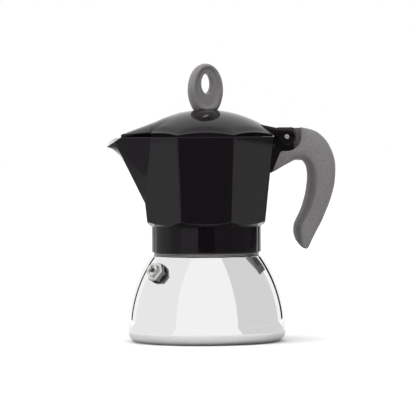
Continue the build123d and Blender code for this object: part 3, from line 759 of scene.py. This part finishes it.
    def top(self, angle: np.ndarray, wall: float, spout_wall: float) -> np.ndarray:
        """Height at which each column of the wall ends.

        Args:
            angle: directions of the columns at the foot.
            wall: how far the eight sides are drawn in.
            spout_wall: how far the spout is drawn in.

        Returns:
            The rim's height, or the height where the column first meets the lip.
        """
        levels = np.linspace(self.spout_foot, self.rim, self.levels)[:, None]
        turned = self.turned(angle[None], levels)
        x = -self.radius(turned, levels, wall, spout_wall) * np.cos(turned - SPOUT_SIDE)
        above = levels - self.lip(x)
        first = np.maximum((above >= -TINY).argmax(axis=0), 1)
        column = np.arange(len(angle))
        last, past = above[first - 1, column], above[first, column]
        share = np.clip(-last / np.maximum(past - last, TINY), 0, 1)
        meets = levels[first - 1, 0] + (levels[first, 0] - levels[first - 1, 0]) * share
        return np.where((above >= -TINY).any(axis=0), meets, self.rim)

    def foot(self, angle: np.ndarray) -> np.ndarray:
        """Height at which the facets meet the cone under the bowl, found by stepping to it.

        Args:
            angle: directions about the axis.

        Returns:
            The height in each direction.
        """
        slope = self.cone_rise / (self.foot_radius - self.collar_radius)
        height = np.full_like(angle, self.cone_low + self.cone_rise)
        for _ in range(self.foot_steps):
            sides = eight_sides(angle, self.face(height))
            height = self.cone_low + slope * (sides - self.collar_radius)
        return height

    def build(self, finishes: Finishes) -> None:
        """Builds the bowl as polar grids: outside, rim, inside, floor, vault and underside.

        Args:
            finishes: the pot's materials.
        """
        angle = facet_angles()
        base = self.turned(angle, np.full_like(angle, self.cone_low))
        low, high = self.foot(base), self.top(angle, 0, 0)
        inner_high = np.minimum(self.top(angle, self.wall, self.spout_wall), high)
        # Rows lie closer together in the upper part, where the spout flares
        climb = np.concatenate([[0], np.linspace(0.012, 0.6, 26), np.linspace(0.62, 1, 46)])[:, None]
        body = low + self.edge + climb * (high - low - 2 * self.edge)
        turned = self.turned(angle[None], body)
        outside = polar(turned, self.radius(turned, body, 0, 0), body)
        roll_up = self.edge * np.sin(ROLL)
        roll_in = self.edge * (1 - np.cos(ROLL))
        crown_z = high - self.edge + roll_up
        crown = polar(turned[-1], self.radius(turned[-1:], (high - self.edge)[None], 0, 0) - roll_in, crown_z)
        hem_z = low + self.edge - roll_up
        hem = polar(base, self.radius(base[None], np.maximum(hem_z, low + self.edge), 0, 0) - roll_in, hem_z)
        inside_z = self.floor + np.linspace(1, 0, self.inside_rows)[:, None] * (inner_high - self.floor)
        turned = self.turned(angle[None], inside_z)
        inside = polar(turned, self.radius(turned, inside_z, self.wall, self.spout_wall), inside_z)
        shell = Shell()
        shell.grid(np.concatenate([hem[::-1], outside[1:-1], crown]), around=True)
        shell.grid(np.stack([crown[-1], inside[0]]), around=True)
        shell.grid(inside, 1, around=True)
        under = [(self.collar_radius, self.cone_low), (self.gasket_seat, self.cone_low),
                 (self.gasket_seat, self.ceiling), (self.vault_radius, self.ceiling)]
        share = (self.vault_radius - self.riser_foot) / (self.vault_radius - self.riser_bore)
        under += [(self.riser_foot, self.ceiling + self.vault_height * share), (self.riser_foot, self.floor)]
        rings = np.stack([polar(base, np.float64(radius), np.float64(height)) for radius, height in under])
        shell.grid(np.concatenate([hem[-1:], rings[:2]]), around=True)
        shell.grid(np.concatenate([rings[1:], inside[-1:]]), 1, around=True)
        bowl = shell.piece("collector_bowl", (finishes.lacquer, finishes.aluminium), crease=24.0)
        seat(bowl, "collector", "black_lacquer", "collector")


@dataclass(frozen=True)
class Plate:
    """A plate across the pot's middle: corners as X and Z, half its width and the rounding of its edges."""

    outline: Outline
    half: float
    rounding: float

    def add_to(self, shell: Shell) -> None:
        """Adds the plate to a shell."""
        shell.slab(np.array(self.outline), -self.half, self.half, self.rounding)


@dataclass
class HingeBlock:
    """The lug on the right facet, with the flange and tongue that carry the handle."""

    lug: Plate = Plate(((41.7, 112.6), (56.8, 120.9), (56.8, 137.4), (56.5, 138.1), (55.8, 138.4),
                        (46.6, 138.4), (45.9, 138.1), (43.9, 132.6)), 8.4, 0.8)
    flange: Plate = Plate(((41.4, 109.1), (42.3, 109.1), (48.2, 122.9), (43.3, 128.3)), 12.2, 0.2)
    tongue: Plate = Plate(((55.8, 123.1), (65.8, 123.1), (65.8, 134.1), (55.8, 134.1)), 3.5, 0.4)

    def build(self, finishes: Finishes) -> None:
        """Builds lug, flange and tongue as rounded plates; the pin runs through the lug.

        Args:
            finishes: the pot's materials.
        """
        shell = Shell()
        for plate in (self.lug, self.flange, self.tongue):
            plate.add_to(shell)
        block = shell.piece("hinge_block", (finishes.lacquer,))
        seat(block, "collector", "black_lacquer", "hinge_lug")


@dataclass
class Lid:
    """The domed lid with its nose over the spout and its fork at the hinge."""

    foot: float = 132.54
    face: float = 43.33
    dome_radius: float = 74.0
    dome_top: float = 150.2
    # Where the dome bends down towards the middle of a side, as a share of the way out, and how far
    bend_start: float = 0.88
    bend_fall: float = 0.35
    wall: float = 2.0
    nose_reach: float = -LIP_START[0]
    nose_root: tuple[float, float] = (-35.6, 25.68)
    nose_tip_half: float = 5.0
    nose_line: tuple[float, float] = (144.34, 134.4)
    nose_line_x: tuple[float, float] = (-27.9, -54.6)
    nose_setback: float = 3.0
    setback_degrees: float = 1.5
    root_slack: float = 0.2
    nose_eaves: tuple[float, float] = (134.2, 135.6)
    nose_thick: tuple[float, float] = (0.5, 0.95)
    # Behind the root: half width of the crease on the dome, and how square the nose's sections are
    crease_x: tuple[float, ...] = (-35.6, -30.0, -24.6, -20.0, -16.0)
    crease_half: tuple[float, ...] = (25.68, 24.0, 21.5, 18.0, 14.0)
    section_power: tuple[float, ...] = (3.8, 3.2, 2.5, 2.0, 2.0)
    # Behind the root the sections sink a little into the dome and run past the crease
    sunk: float = 0.06
    sunk_run: float = 4.0
    past: float = 0.1
    past_run: float = 40.0
    front_rows: int = 40
    back_rows: int = 50
    row_gap: float = 0.3
    nose_columns: int = 81
    # Under the nose: the bead at its tip, a step behind it and a rib along the middle
    nub: Plate = Plate(((-55.1, 131.6), (-50.5, 131.4), (-50.4, 134.2), (-51.6, 134.8), (-52.6, 135.0),
                        (-53.6, 134.8), (-54.5, 134.2), (-55.0, 133.3)), 8.8, 1.3)
    step: Plate = Plate(((-50.8, 132.3), (-47.4, 132.5), (-47.4, 133.9), (-50.8, 134.0)), 9.0, 0.2)
    keel: Plate = Plate(((-50.0, 131.2), (-34.0, 131.2), (-34.0, 138.0), (-50.0, 134.4)), 4.5, 0.3)
    lip_inset: float = 7.0
    lip_foot: float = 130.6
    edge: float = 0.45
    # Depth of the skirt's first ring, in edges: so near the roll, it keeps the skirt's shading upright
    skirt_start: float = 1.2
    ear_radius: float = 5.6
    ear_points: int = 45
    ear_degrees: tuple[float, float] = (-185.0, 79.0)
    ear_arm: Outline = ((45.6, 138.1), (36.0, 140.2), (36.0, 134.2))
    ear_span: tuple[float, float] = (8.7, 12.1)
    ear_rounding: float = 0.6

    def outline(self, angle: np.ndarray, inset: float) -> np.ndarray:
        """Radius of the round part's edge: eight sides, cut back behind the flanks of the nose.

        Args:
            angle: directions about the axis.
            inset: how far the edge is drawn in.

        Returns:
            The radius in each direction.
        """
        sides = eight_sides(angle, self.face - inset)
        turn = np.abs(angle - SPOUT_SIDE)
        tip, root = np.array([-self.nose_reach, self.nose_tip_half]), np.array(self.nose_root)
        run = (root - tip) / np.linalg.norm(root - tip)
        inward = inset * np.array([run[1], -run[0]])
        root_turn = math.atan2(root[1], -root[0])
        back = self.nose_setback * np.clip((root_turn - turn) / math.radians(self.setback_degrees), 0, 1)
        flank = ray_to_line(math.pi - turn, *(root + inward), *(tip + inward)) - back
        return np.where(turn < root_turn, np.minimum(sides, flank), sides)

    def along_nose(self, x: np.ndarray, ends: tuple[float, float]) -> np.ndarray:
        """A value that changes evenly from the nose's tip to its root."""
        share = np.clip((x + self.nose_reach) / (self.nose_root[0] + self.nose_reach), 0, 1)
        return ends[0] + (ends[1] - ends[0]) * share

    def dome(self, x: np.ndarray, y: np.ndarray) -> np.ndarray:
        """Height of the round part's top.

        It is a sphere that bends down near the middle of each side: from the start of the bend to the
        edge it falls, on a smooth step, by a share of that edge's height over the corners.

        Args:
            x: places along X.
            y: places along Y.

        Returns:
            The height at each place.
        """
        def sphere(radius: np.ndarray) -> np.ndarray:
            """Height of the sphere at a distance from the axis."""
            rise = np.sqrt(np.maximum(self.dome_radius**2 - radius**2, 1))
            return self.dome_top - self.dome_radius + rise

        radius = np.hypot(x, y)
        side = eight_sides(np.arctan2(y, x), self.face)
        share = np.clip((radius / side - self.bend_start) / (1 - self.bend_start), 0, 1)
        over = sphere(side) - sphere(np.float64(self.face / math.cos(FACET_ANGLE / 2)))
        return sphere(radius) - self.bend_fall * over * share**2 * (3 - 2 * share)

    def nose(self) -> np.ndarray:
        """Sections of the nose over the spout, from its tip back into the dome.

        The crown is a straight line from the tip to the dome. Each section falls from it by a power of
        the distance from the middle: to the eaves in front, and behind the root to a crease on the
        dome. The power drops to 2 further back, so that there the section fades into the dome.

        Returns:
            Closed loops by row, over the top and back under it.
        """
        front = np.linspace(-self.nose_reach, self.nose_root[0], self.front_rows)
        back = np.linspace(self.nose_root[0] + self.row_gap, self.crease_x[-1], self.back_rows)
        x = np.concatenate([front, back])[:, None]
        fore = x <= self.nose_root[0]
        half = np.where(fore, self.along_nose(x, (self.nose_tip_half, self.nose_root[1])),
                        np.interp(x, self.crease_x, self.crease_half))
        power = np.interp(x, self.crease_x, self.section_power)
        slope = (self.nose_line[1] - self.nose_line[0]) / (self.nose_line_x[1] - self.nose_line_x[0])
        crown = np.maximum(self.nose_line[0] + slope * (x - self.nose_line_x[0]), self.dome(x, 0 * x))
        side = np.where(fore, self.along_nose(x, self.nose_eaves), self.dome(x, half))
        behind = x - self.nose_root[0]
        across = np.linspace(-1, 1, self.nose_columns) * (1 + np.clip(behind / self.past_run, 0, self.past))
        sink = self.sunk * np.clip(behind / self.sunk_run, 0, 1)
        top = crown - (crown - side) * np.abs(across) ** power - sink
        over = np.stack([x + 0 * top, across * half, top], axis=-1)
        under = over - np.stack([0 * top, 0 * top, self.along_nose(x, self.nose_thick) + 0 * top], axis=-1)
        return np.concatenate([over, under[:, ::-1]], axis=1)

    def build(self, finishes: Finishes) -> None:
        """Builds the lid: polar grids for top, edge and hollow, sections for the nose, and plates.

        Args:
            finishes: the pot's materials.
        """
        angle = facet_angles()
        share = np.concatenate([np.linspace(0, 0.5, 18), np.linspace(0.52, 1, 40)])[:, None]
        rim = self.outline(angle, 0)
        crown_r = share * (rim - self.edge)
        top = polar(angle, crown_r, 0 * crown_r)
        top[..., 2] = self.dome(top[..., 0], top[..., 1])
        edge_z = top[-1, :, 2]
        behind_nose = rim * np.cos(angle) < self.nose_root[0] + self.root_slack
        foot = np.where(behind_nose, self.nose_eaves[1] - self.nose_thick[1], self.foot)
        bend = ROLL[1:]
        roll = polar(angle, rim - self.edge * (1 - np.sin(bend)), edge_z - self.edge * (1 - np.cos(bend)))
        skirt = np.stack([polar(angle, rim, edge_z - self.skirt_start * self.edge), polar(angle, rim, foot)])
        lip_out = self.outline(angle, self.lip_inset)
        lip_in = self.outline(angle, self.lip_inset + self.wall)
        lip = np.stack([polar(angle, lip_out, foot), polar(angle, lip_out, self.lip_foot),
                        polar(angle, lip_in, self.lip_foot)])
        hollow_r = share[::-1] * lip_in
        hollow = polar(angle, hollow_r, 0 * hollow_r)
        hollow[..., 2] = self.dome(hollow[..., 0], hollow[..., 1]) - self.wall
        shell = Shell()
        shell.grid(np.concatenate([top, roll, skirt, lip]), around=True)
        shell.grid(np.concatenate([lip[-1:], hollow]), 1, around=True)
        nose = self.nose()
        shell.grid(nose, around=True)
        shell.cap(nose[0])
        shell.cap(nose[-1])
        for plate in (self.nub, self.step, self.keel):
            plate.add_to(shell)
        turn = np.radians(np.linspace(*self.ear_degrees, self.ear_points))
        ear = np.array(HINGE) + self.ear_radius * np.stack([np.cos(turn), np.sin(turn)], axis=1)
        arm = np.concatenate([ear, self.ear_arm])
        for low, high in (self.ear_span, (-self.ear_span[1], -self.ear_span[0])):
            shell.slab(arm, low, high, self.ear_rounding)
        cover = shell.piece("lid_cover", (finishes.lacquer, finishes.aluminium))
        seat(cover, "lid", "black_lacquer", "lid")


@dataclass
class Knob:
    """The egg-shaped ring on the lid, with a dished face round its hole."""

    base: float = 150.2
    turn: float = 19.0
    half_width: float = 11.4
    waist: float = 12.5
    upper: float = 17.3
    lower: float = 17.5
    sink: float = 1.6
    dish: tuple[float, float, float] = (7.2, 12.4, 14.2)
    hole: tuple[float, float, float] = (4.05, 6.8, 16.8)
    # Share of the way in and half thickness: over the rim to the dish, then down the dish and through
    rim_steps: Outline = ((0, 0), (0.015, 1.3), (0.06, 2.7), (0.14, 3.9), (0.25, 4.9), (0.38, 5.5),
                          (0.52, 5.7), (0.66, 5.6), (0.79, 5.3), (0.9, 4.95), (1.0, 4.6))
    dish_steps: Outline = ((0.08, 4.4), (0.2, 4.28), (0.5, 4.2), (0.9, 4.25), (0.98, 4.15), (1.0, 3.9),
                           (1.0, 0))
    columns: int = 160

    def build(self, finishes: Finishes) -> None:
        """Builds the ring by carrying a section round three ovals.

        Each section runs from the egg-shaped outline over a rounded rim to the dish's oval, down
        the dish to the hole's oval, and through the hole; the back mirrors the front.

        Args:
            finishes: the pot's materials.
        """
        around = np.linspace(0, 2 * math.pi, self.columns, endpoint=False)
        tall = np.where(np.sin(around) > 0, self.upper, self.lower)
        outer_z = np.maximum(self.waist + tall * np.sin(around), -self.sink)
        outer = np.stack([self.half_width * np.cos(around), outer_z], axis=1)
        dish_oval, hole_oval = (np.stack([wide * np.cos(around), middle + tall * np.sin(around)], axis=1)
                                for wide, tall, middle in (self.dish, self.hole))
        rim_steps, dish_steps = np.array(self.rim_steps), np.array(self.dish_steps)
        rim = outer[None] + (dish_oval - outer)[None] * rim_steps[:, :1, None]
        dish = dish_oval[None] + (hole_oval - dish_oval)[None] * dish_steps[:, :1, None]
        flat = np.concatenate([rim, dish])
        depth = np.concatenate([rim_steps[:, 1], dish_steps[:, 1]])[:, None]
        side = math.radians(self.turn)
        across = np.array([math.cos(side), math.sin(side), 0])
        ahead = np.array([math.sin(side), -math.cos(side), 0])
        shell = Shell()
        for face in (1, -1):
            spot = flat[..., :1] * across + face * depth[..., None] * ahead
            spot[..., 2] = self.base + flat[..., 1]
            shell.grid(spot, around=True)
        ring = shell.piece("knob_ring", (finishes.grip,), crease=50.0)
        seat(ring, "lid", "grey_plastic", "knob")


@dataclass
class Handle:
    """The moulded handle: a hooked grip with rounded back edges and a soft step along its inside."""

    half: float = 12.2
    web_half: float = 7.9
    web_start: float = 4.6
    web_end: float = 10.6
    web_span: tuple[float, float] = (-9.5, 5.7)
    rib_step: float = 1.5
    rib_depth: float = 0.45
    web_points: int = 73
    least_edge: float = 0.1
    # X and Z from the pin, the edges' radius and their shape: the grip from the hinge over
    # the back to the tip and up the inside, then the notch from the flange round the hinge
    grip: Outline = (
        (9.0, 6.0, 0.4, 0.0), (14.4, 5.0, 4.8, 0.4), (19.0, 3.3, 6.2, 0.5), (22.4, 0.8, 6.4, 0.5),
        (25.8, -2.9, 6.4, 0.5), (28.6, -8.0, 6.2, 0.4), (30.6, -13.7, 5.8, 0.3), (31.4, -19.3, 5.4, 0.2),
        (31.3, -25.0, 5.0, 0.0), (30.6, -31.2, 5.0, 0.0), (29.2, -36.9, 5.0, 0.0), (27.2, -43.1, 5.0, 0.0),
        (24.6, -49.3, 4.6, 0.0), (21.8, -55.6, 4.0, 0.0), (19.0, -60.6, 3.4, 0.0), (16.1, -66.3, 2.4, 0.0),
        (14.0, -70.6, 1.0, 0.0), (13.0, -72.0, 0.7, 0.0), (11.9, -72.4, 0.7, 0.2), (9.9, -71.7, 1.5, 0.5),
        (7.6, -69.7, 3.2, 1.4), (5.6, -66.9, 5.0, 1.8), (4.3, -62.9, 6.2, 2.0), (4.1, -60.1, 6.4, 2.0),
        (4.5, -56.7, 6.4, 2.0), (5.9, -53.3, 6.6, 2.0), (7.6, -49.9, 7.0, 2.0), (9.3, -45.9, 7.4, 2.0),
        (10.7, -41.4, 7.8, 2.0), (11.9, -36.9, 8.0, 2.0), (12.7, -32.3, 8.0, 2.0), (13.2, -27.2, 7.8, 2.0),
        (13.1, -22.7, 7.2, 2.0), (12.5, -19.3, 6.4, 2.0), (11.3, -16.8, 5.4, 2.0), (9.9, -15.2, 4.4, 2.0),
        (8.2, -14.5, 3.6, 1.9), (6.3, -14.6, 3.0, 1.7), (4.2, -15.4, 2.5, 1.3), (1.4, -16.8, 2.0, 0.7),
        (-2.0, -18.7, 1.6, 0.2), (-5.4, -20.7, 1.0, 0.0), (-8.5, -22.4, 0.2, 0.0), (-9.6, -22.9, 0.1, 0.0),
    )
    notch: Outline = (
        (-8.4, -19.8, 0.1, 0.0), (-6.0, -14.0, 0.3, 0.0), (-4.3, -10.2, 0.3, 0.0), (-3.2, -9.4, 0.4, 0.0),
        (-1.4, -9.3, 0.5, 0.0), (0.3, -9.3, 0.5, 0.0), (1.9, -9.1, 0.5, 0.0), (3.5, -8.6, 0.5, 0.0),
        (5.0, -7.8, 0.5, 0.0), (6.4, -6.7, 0.5, 0.0), (7.5, -5.5, 0.5, 0.0), (8.4, -4.0, 0.5, 0.0),
        (9.0, -2.4, 0.5, 0.0), (9.3, -0.8, 0.5, 0.0), (9.4, 1.0, 0.5, 0.0), (9.3, 3.0, 0.3, 0.0),
    )
    finer: int = 5

    def outline(self) -> np.ndarray:
        """Closed curve through grip and notch, with their edge sizes carried along.

        Between two points of the grip the curve is a Catmull-Rom cubic, which passes through both
        and takes its slope at each from that point's neighbours; the notch is straight between points.

        Returns:
            Points from the pin, anticlockwise: X, Z, the edges' radius and their shape.
        """
        knots = np.array(self.grip)
        padded = np.concatenate([knots[:1], knots, knots[-1:]])
        before, start, end, after = (padded[k:len(knots) - 1 + k, None] for k in range(4))
        share = np.linspace(0, 1, self.finer, endpoint=False)[None, :, None]
        cubic = (2 * start + (end - before) * share + (2 * before - 5 * start + 4 * end - after) * share**2
                 + (3 * start - before - 3 * end + after) * share**3) / 2
        return np.concatenate([cubic.reshape(-1, 4), knots[-1:], np.array(self.notch)])[::-1]

    def build(self, finishes: Finishes) -> None:
        """Builds the grip as a plate with sized edges, and the ribbed web that meets the hinge.

        Args:
            finishes: the pot's materials.
        """
        curve = self.outline()
        shell = Shell()
        shell.slab(curve[:, :2] + np.array(HINGE), -self.half, self.half,
                   np.maximum(curve[:, 2], self.least_edge), np.clip(curve[:, 3], 0, 2))
        along = np.linspace(self.web_start, self.web_end, self.web_points)
        wave = self.web_half + self.rib_depth * np.cos(2 * math.pi * (along - self.web_start) / self.rib_step)
        loop = np.concatenate([np.stack([along, -wave], axis=1), np.stack([along, wave], axis=1)[::-1]])
        sides = [np.column_stack([loop[:, 0] + HINGE[0], loop[:, 1], np.full(len(loop), HINGE[1] + height)])
                 for height in self.web_span]
        shell.grid(np.stack(sides), around=True)
        shell.cap(sides[0])
        shell.cap(sides[1])
        grip = shell.piece("handle_grip", (finishes.grip,), crease=40.0)
        seat(grip, "collector", "grey_plastic", "handle")


class Card(Enum):
    """What a studio card shows in reflections, as a strength of white."""

    FRONT = 1.0
    LEFT = 0.9
    RIGHT = 0.72
    FAR_LEFT = 0.6
    NEAR = 0.78
    SPOUT = 0.43
    FAR_RIGHT = 0.2
    DIM = 0.14
    FLAG = 0.0


@dataclass
class Studio:
    """Floor, surroundings, lamps and camera."""

    eye: tuple[float, float, float] = (0.0012, -1.94, 0.132)
    aim: tuple[float, float, float] = (0.0012, 0.0, 0.0864)
    lens: float = 259.0
    roll: float = -0.4
    clip_end: float = 60.0
    fill: float = 0.42
    floor_half: float = 12.0
    # Floor as the camera sees it and as reflections do, the darker one painted shade in what the metal
    # reflects, and the glow that whitens it with distance; the glow near the pot is none under it and rises
    # over its span, so a painted shadow rings the pot
    floor_shade: str = "#DEDEDE"
    floor_mirrored: str = "#B6B6B6"
    painted_shadow_glow: float = 0.27
    painted_shadow_span: tuple[float, float] = (0.048, 0.09)
    far_glow: float = 0.6
    far_span: tuple[float, float] = (0.2, 1.4)
    # Bearings from the front, in degrees, and places in metres: near and far reach, near and far height
    panel: tuple[float, float] = (46.0, 128.0)
    panel_reach: float = 4.2
    panel_span: tuple[float, float] = (0.05, 9.0)
    left_flag: tuple[float, float] = (-139.5, -145.0)
    right_flag: tuple[float, float] = (139.5, 147.5)
    flag_reach: float = 1.2
    flag_span: tuple[float, float] = (0.004, 0.9)
    dark_front: float = 17.0
    spout_bearings: tuple[float, float] = (-80.5, -55.0)
    rim_bearings: tuple[float, float] = (22.0, 135.0)
    sheet_points: int = 24
    rim_sheet: tuple[float, ...] = (0.08, 1.5, 0.1322, 0.19)
    floor_sheet: tuple[float, ...] = (0.11, 4.2, 0.002, 0.05)
    near_sheet: tuple[float, ...] = (0.14, 0.7, 0.03, 0.03)
    spout_sheet: tuple[float, ...] = (0.14, 1.8, 0.031, 0.031)
    far_sheet: tuple[float, ...] = (0.7, 2.8, 0.03, 0.03)
    collar_sheet: Outline = ((-0.03, -0.045, 0.0748), (-0.35, -1.5, 0.2), (0.35, -1.5, 0.2),
                             (0.06, -0.045, 0.0748))
    # Place, size in metres and power in watts
    lamps: tuple[tuple[str, tuple[float, float, float], float, float], ...] = (
        ("softbox_top", (-0.1, -0.15, 1.4), 1.6, 24.0),
        ("softbox_left", (-1.2, -0.7, 0.8), 0.7, 11.0),
        ("softbox_right", (1.3, -0.8, 0.8), 0.9, 6.0),
    )
    lamp_aim: tuple[float, float, float] = (0.0, 0.0, 0.09)

    def camera(self) -> None:
        """Sets a long lens level with the bowl's rim."""
        data = bpy.data.cameras.new("camera")
        thing = put("camera", data)
        data.lens = self.lens
        data.clip_end = self.clip_end
        eye, aim = Vector(self.eye), Vector(self.aim)
        thing.location = eye
        roll = Matrix.Rotation(math.radians(self.roll), 4, "Z").to_quaternion()
        thing.rotation_mode = "QUATERNION"
        thing.rotation_quaternion = (aim - eye).to_track_quat("-Z", "Y") @ roll
        bpy.context.scene.camera = thing

    def world(self) -> None:
        """White for what the camera and the metal see, and a softer fill for the rest."""
        world = bpy.data.worlds.new("studio")
        bpy.context.scene.world = world
        world.use_nodes = True
        tree = world.node_tree
        ground = tree.nodes["Background"]
        ground.inputs["Color"].default_value = linear("#FFFFFF")
        path = add(tree, "ShaderNodeLightPath")
        gloss = add(tree, "ShaderNodeMath", {"operation": "MAXIMUM"},
                    {0: path.outputs["Is Glossy Ray"], 1: path.outputs["Is Transmission Ray"]})
        seen = add(tree, "ShaderNodeMath", {"operation": "MAXIMUM"},
                   {0: path.outputs["Is Camera Ray"], 1: gloss.outputs[0]})
        level = add(tree, "ShaderNodeMapRange", {"To Min": self.fill, "To Max": 1.0},
                    {"Value": seen.outputs[0]})
        tree.links.new(level.outputs[0], ground.inputs["Strength"])

    def plate(self, name: str, corners: np.ndarray, material: bpy.types.Material) -> bpy.types.Object:
        """Makes one flat piece of the studio.

        Args:
            name: the object's name.
            corners: its corners in order, in metres.
            material: its finish.

        Returns:
            The object.
        """
        mesh = bpy.data.meshes.new(name)
        mesh.from_pydata(corners.tolist(), [], [list(range(len(corners)))])
        mesh.materials.append(material)
        thing = put(name, mesh)
        return thing

    def floor(self) -> None:
        """A pale floor that whitens away from the pot, keeps its shadow with a painted shadow round the pot,
        and is duller in reflections as painted shade.
        """
        material, tree, shader, place = new_material("studio_floor")
        shader.inputs["Roughness"].default_value = 0.9
        shader.inputs["Specular IOR Level"].default_value = 0.0
        shader.inputs["Emission Color"].default_value = linear("#FFFFFF")
        path = add(tree, "ShaderNodeLightPath")
        # Reflections see the darker floor_mirrored colour: painted shade in the metal's reflections
        shade = add(tree, "ShaderNodeMix", {"data_type": "RGBA", 6: linear(self.floor_shade),
                    7: linear(self.floor_mirrored)}, {0: path.outputs["Is Glossy Ray"]})
        tree.links.new(shade.outputs[2], shader.inputs["Base Color"])
        away = add(tree, "ShaderNodeVectorMath", {"operation": "LENGTH"}, {0: place})
        # The near glow is none close to the pot and rises across its span: a painted shadow round the pot
        near, far = (add(tree, "ShaderNodeMapRange", {"From Min": span[0], "From Max": span[1],
                         "To Max": glow}, {"Value": away.outputs[1]})
                     for span, glow in ((self.painted_shadow_span, self.painted_shadow_glow), (self.far_span, self.far_glow)))
        seen = add(tree, "ShaderNodeMath", {"operation": "MAXIMUM"},
                   {0: path.outputs["Is Camera Ray"], 1: path.outputs["Is Glossy Ray"]})
        both = add(tree, "ShaderNodeMath", {"operation": "ADD"}, {0: near.outputs[0], 1: far.outputs[0]})
        glow = add(tree, "ShaderNodeMath", {"operation": "MULTIPLY"},
                   {0: both.outputs[0], 1: seen.outputs[0]})
        tree.links.new(glow.outputs[0], shader.inputs["Emission Strength"])
        size = self.floor_half
        corners = np.array([(-size, -size, 0), (size, -size, 0), (size, size, 0), (-size, size, 0)])
        self.plate("studio_floor", corners, material)

    def card(self, name: str, shade: Card, corners: np.ndarray) -> None:
        """A card that only reflections see, and only from its front.

        Args:
            name: the card's name.
            shade: its even strength of white.
            corners: its corners in order, in metres.
        """
        material = bpy.data.materials.new(f"studio_card_{name}")
        material.use_nodes = True
        tree = material.node_tree
        tree.nodes.clear()
        light = add(tree, "ShaderNodeEmission", {"Strength": shade.value})
        clear = add(tree, "ShaderNodeBsdfTransparent")
        side = add(tree, "ShaderNodeNewGeometry")
        mix = add(tree, "ShaderNodeMixShader", None,
                  {0: side.outputs["Backfacing"], 1: light.outputs[0], 2: clear.outputs[0]})
        add(tree, "ShaderNodeOutputMaterial", None, {"Surface": mix.outputs[0]})
        thing = self.plate(f"studio_card_{name}", corners, material)
        thing.visible_camera = False
        thing.visible_diffuse = False
        thing.visible_shadow = False
        thing.visible_transmission = False

    def cards(self) -> None:
        """Side walls, strips behind, and sheets that lie level with what they darken."""
        def wall(start: float, end: float, reach: float, low: float, high: float) -> np.ndarray:
            """Shapes an upright card that faces in.

            Args:
                start: bearing of its first edge from the front, in degrees.
                end: bearing of its last edge.
                reach: distance from the axis.
                low: height of its foot.
                high: height of its top.

            Returns:
                Its corners in order.
            """
            turns = np.radians((start, end))
            foot = np.column_stack([reach * np.sin(turns), -reach * np.cos(turns)])
            corners = np.array([(*foot[0], low), (*foot[1], low), (*foot[1], high), (*foot[0], high)])
            return corners if end < start else corners[::-1]

        def sheet(start: float, end: float, near: float, far: float, low: float, high: float) -> np.ndarray:
            """Shapes a sector of a ring that faces up.

            Args:
                start: its first bearing from the front, in degrees.
                end: its last bearing.
                near: distance of its inner edge from the axis.
                far: distance of its outer edge.
                low: height of the inner edge.
                high: height of the outer edge.

            Returns:
                Its corners in order.
            """
            turns = np.radians(np.linspace(start, end, self.sheet_points))
            edge = np.column_stack([np.sin(turns), -np.cos(turns), 0 * turns])
            return np.concatenate([near * edge[::-1] + (0, 0, low), far * edge + (0, 0, high)])

        edge, end = self.panel
        front, back = self.rim_bearings
        dark = self.dark_front
        spout = self.spout_bearings
        for name, shade, corners in (
            ("left", Card.LEFT, wall(-edge, -end, self.panel_reach, *self.panel_span)),
            ("right", Card.RIGHT, wall(edge, end, self.panel_reach, *self.panel_span)),
            ("flag_left", Card.FLAG, wall(*self.left_flag, self.flag_reach, *self.flag_span)),
            ("flag_right", Card.FLAG, wall(*self.right_flag, self.flag_reach, *self.flag_span)),
            ("front_sheet", Card.DIM, np.array(self.collar_sheet)),
            ("left_sheet", Card.FLAG, sheet(-back, -front, *self.rim_sheet)),
            ("right_sheet", Card.FLAG, sheet(front, back, *self.rim_sheet)),
            ("rim_sheet", Card.DIM, sheet(-front, front, *self.rim_sheet)),
            ("floor_left", Card.LEFT, sheet(-end, -edge, *self.floor_sheet)),
            ("floor_front", Card.FRONT, sheet(-edge, edge, *self.floor_sheet)),
            ("floor_right", Card.RIGHT, sheet(edge, end, *self.floor_sheet)),
            ("near_left", Card.NEAR, sheet(-end, spout[0], *self.near_sheet)),
            ("near_spout", Card.SPOUT, sheet(*spout, *self.spout_sheet)),
            ("near_right", Card.NEAR, sheet(dark, end, *self.near_sheet)),
            ("far_front", Card.FLAG, sheet(-dark, dark, *self.far_sheet)),
            ("far_left", Card.FAR_LEFT, sheet(-end, -dark, *self.far_sheet)),
            ("far_right", Card.FAR_RIGHT, sheet(dark, end, *self.far_sheet)),
        ):
            self.card(name, shade, corners)

    def lamp(self, name: str, place: tuple[float, float, float], size: float, power: float) -> None:
        """A square softbox aimed at the pot's middle, kept out of clear reflections.

        Args:
            name: the lamp's name.
            place: where it hangs, in metres.
            size: length of its sides in metres.
            power: its power in watts.
        """
        data = bpy.data.lights.new(name, "AREA")
        data.size = size
        data.energy = power
        thing = put(name, data)
        thing.location = place
        thing.rotation_euler = (Vector(self.lamp_aim) - Vector(place)).to_track_quat("-Z", "Y").to_euler()
        thing.visible_glossy = False

    def build(self) -> None:
        """Builds the studio."""
        bpy.context.scene.view_settings.view_transform = "Standard"
        self.camera()
        self.world()
        self.floor()
        self.cards()
        for lamp in self.lamps:
            self.lamp(*lamp)


def main() -> None:
    """Builds the pot's pieces in order, then the studio."""
    logging.basicConfig(level=logging.INFO)
    finishes = Finishes.make()
    dress(finishes.steel, "boiler_shell")
    dress(finishes.liner, "boiler_liner")
    dress(finishes.aluminium, "funnel", "funnel_screen", "filter_plate", "riser_column")
    dress(finishes.nut, "valve_body")
    dress(finishes.valve, "valve_cap", "valve_stem", "valve_spring")
    dress(finishes.washer, "valve_washer")
    dress(finishes.fastener, "hinge_pin", "handle_screw", "knob_washer", "knob_screw")
    dress(finishes.silicone, "gasket", "valve_seal")
    dress(finishes.lacquer, "collar")
    Collector().build(finishes)
    HingeBlock().build(finishes)
    Lid().build(finishes)
    Knob().build(finishes)
    Handle().build(finishes)
    Studio().build()


if __name__ == "__main__":
    main()
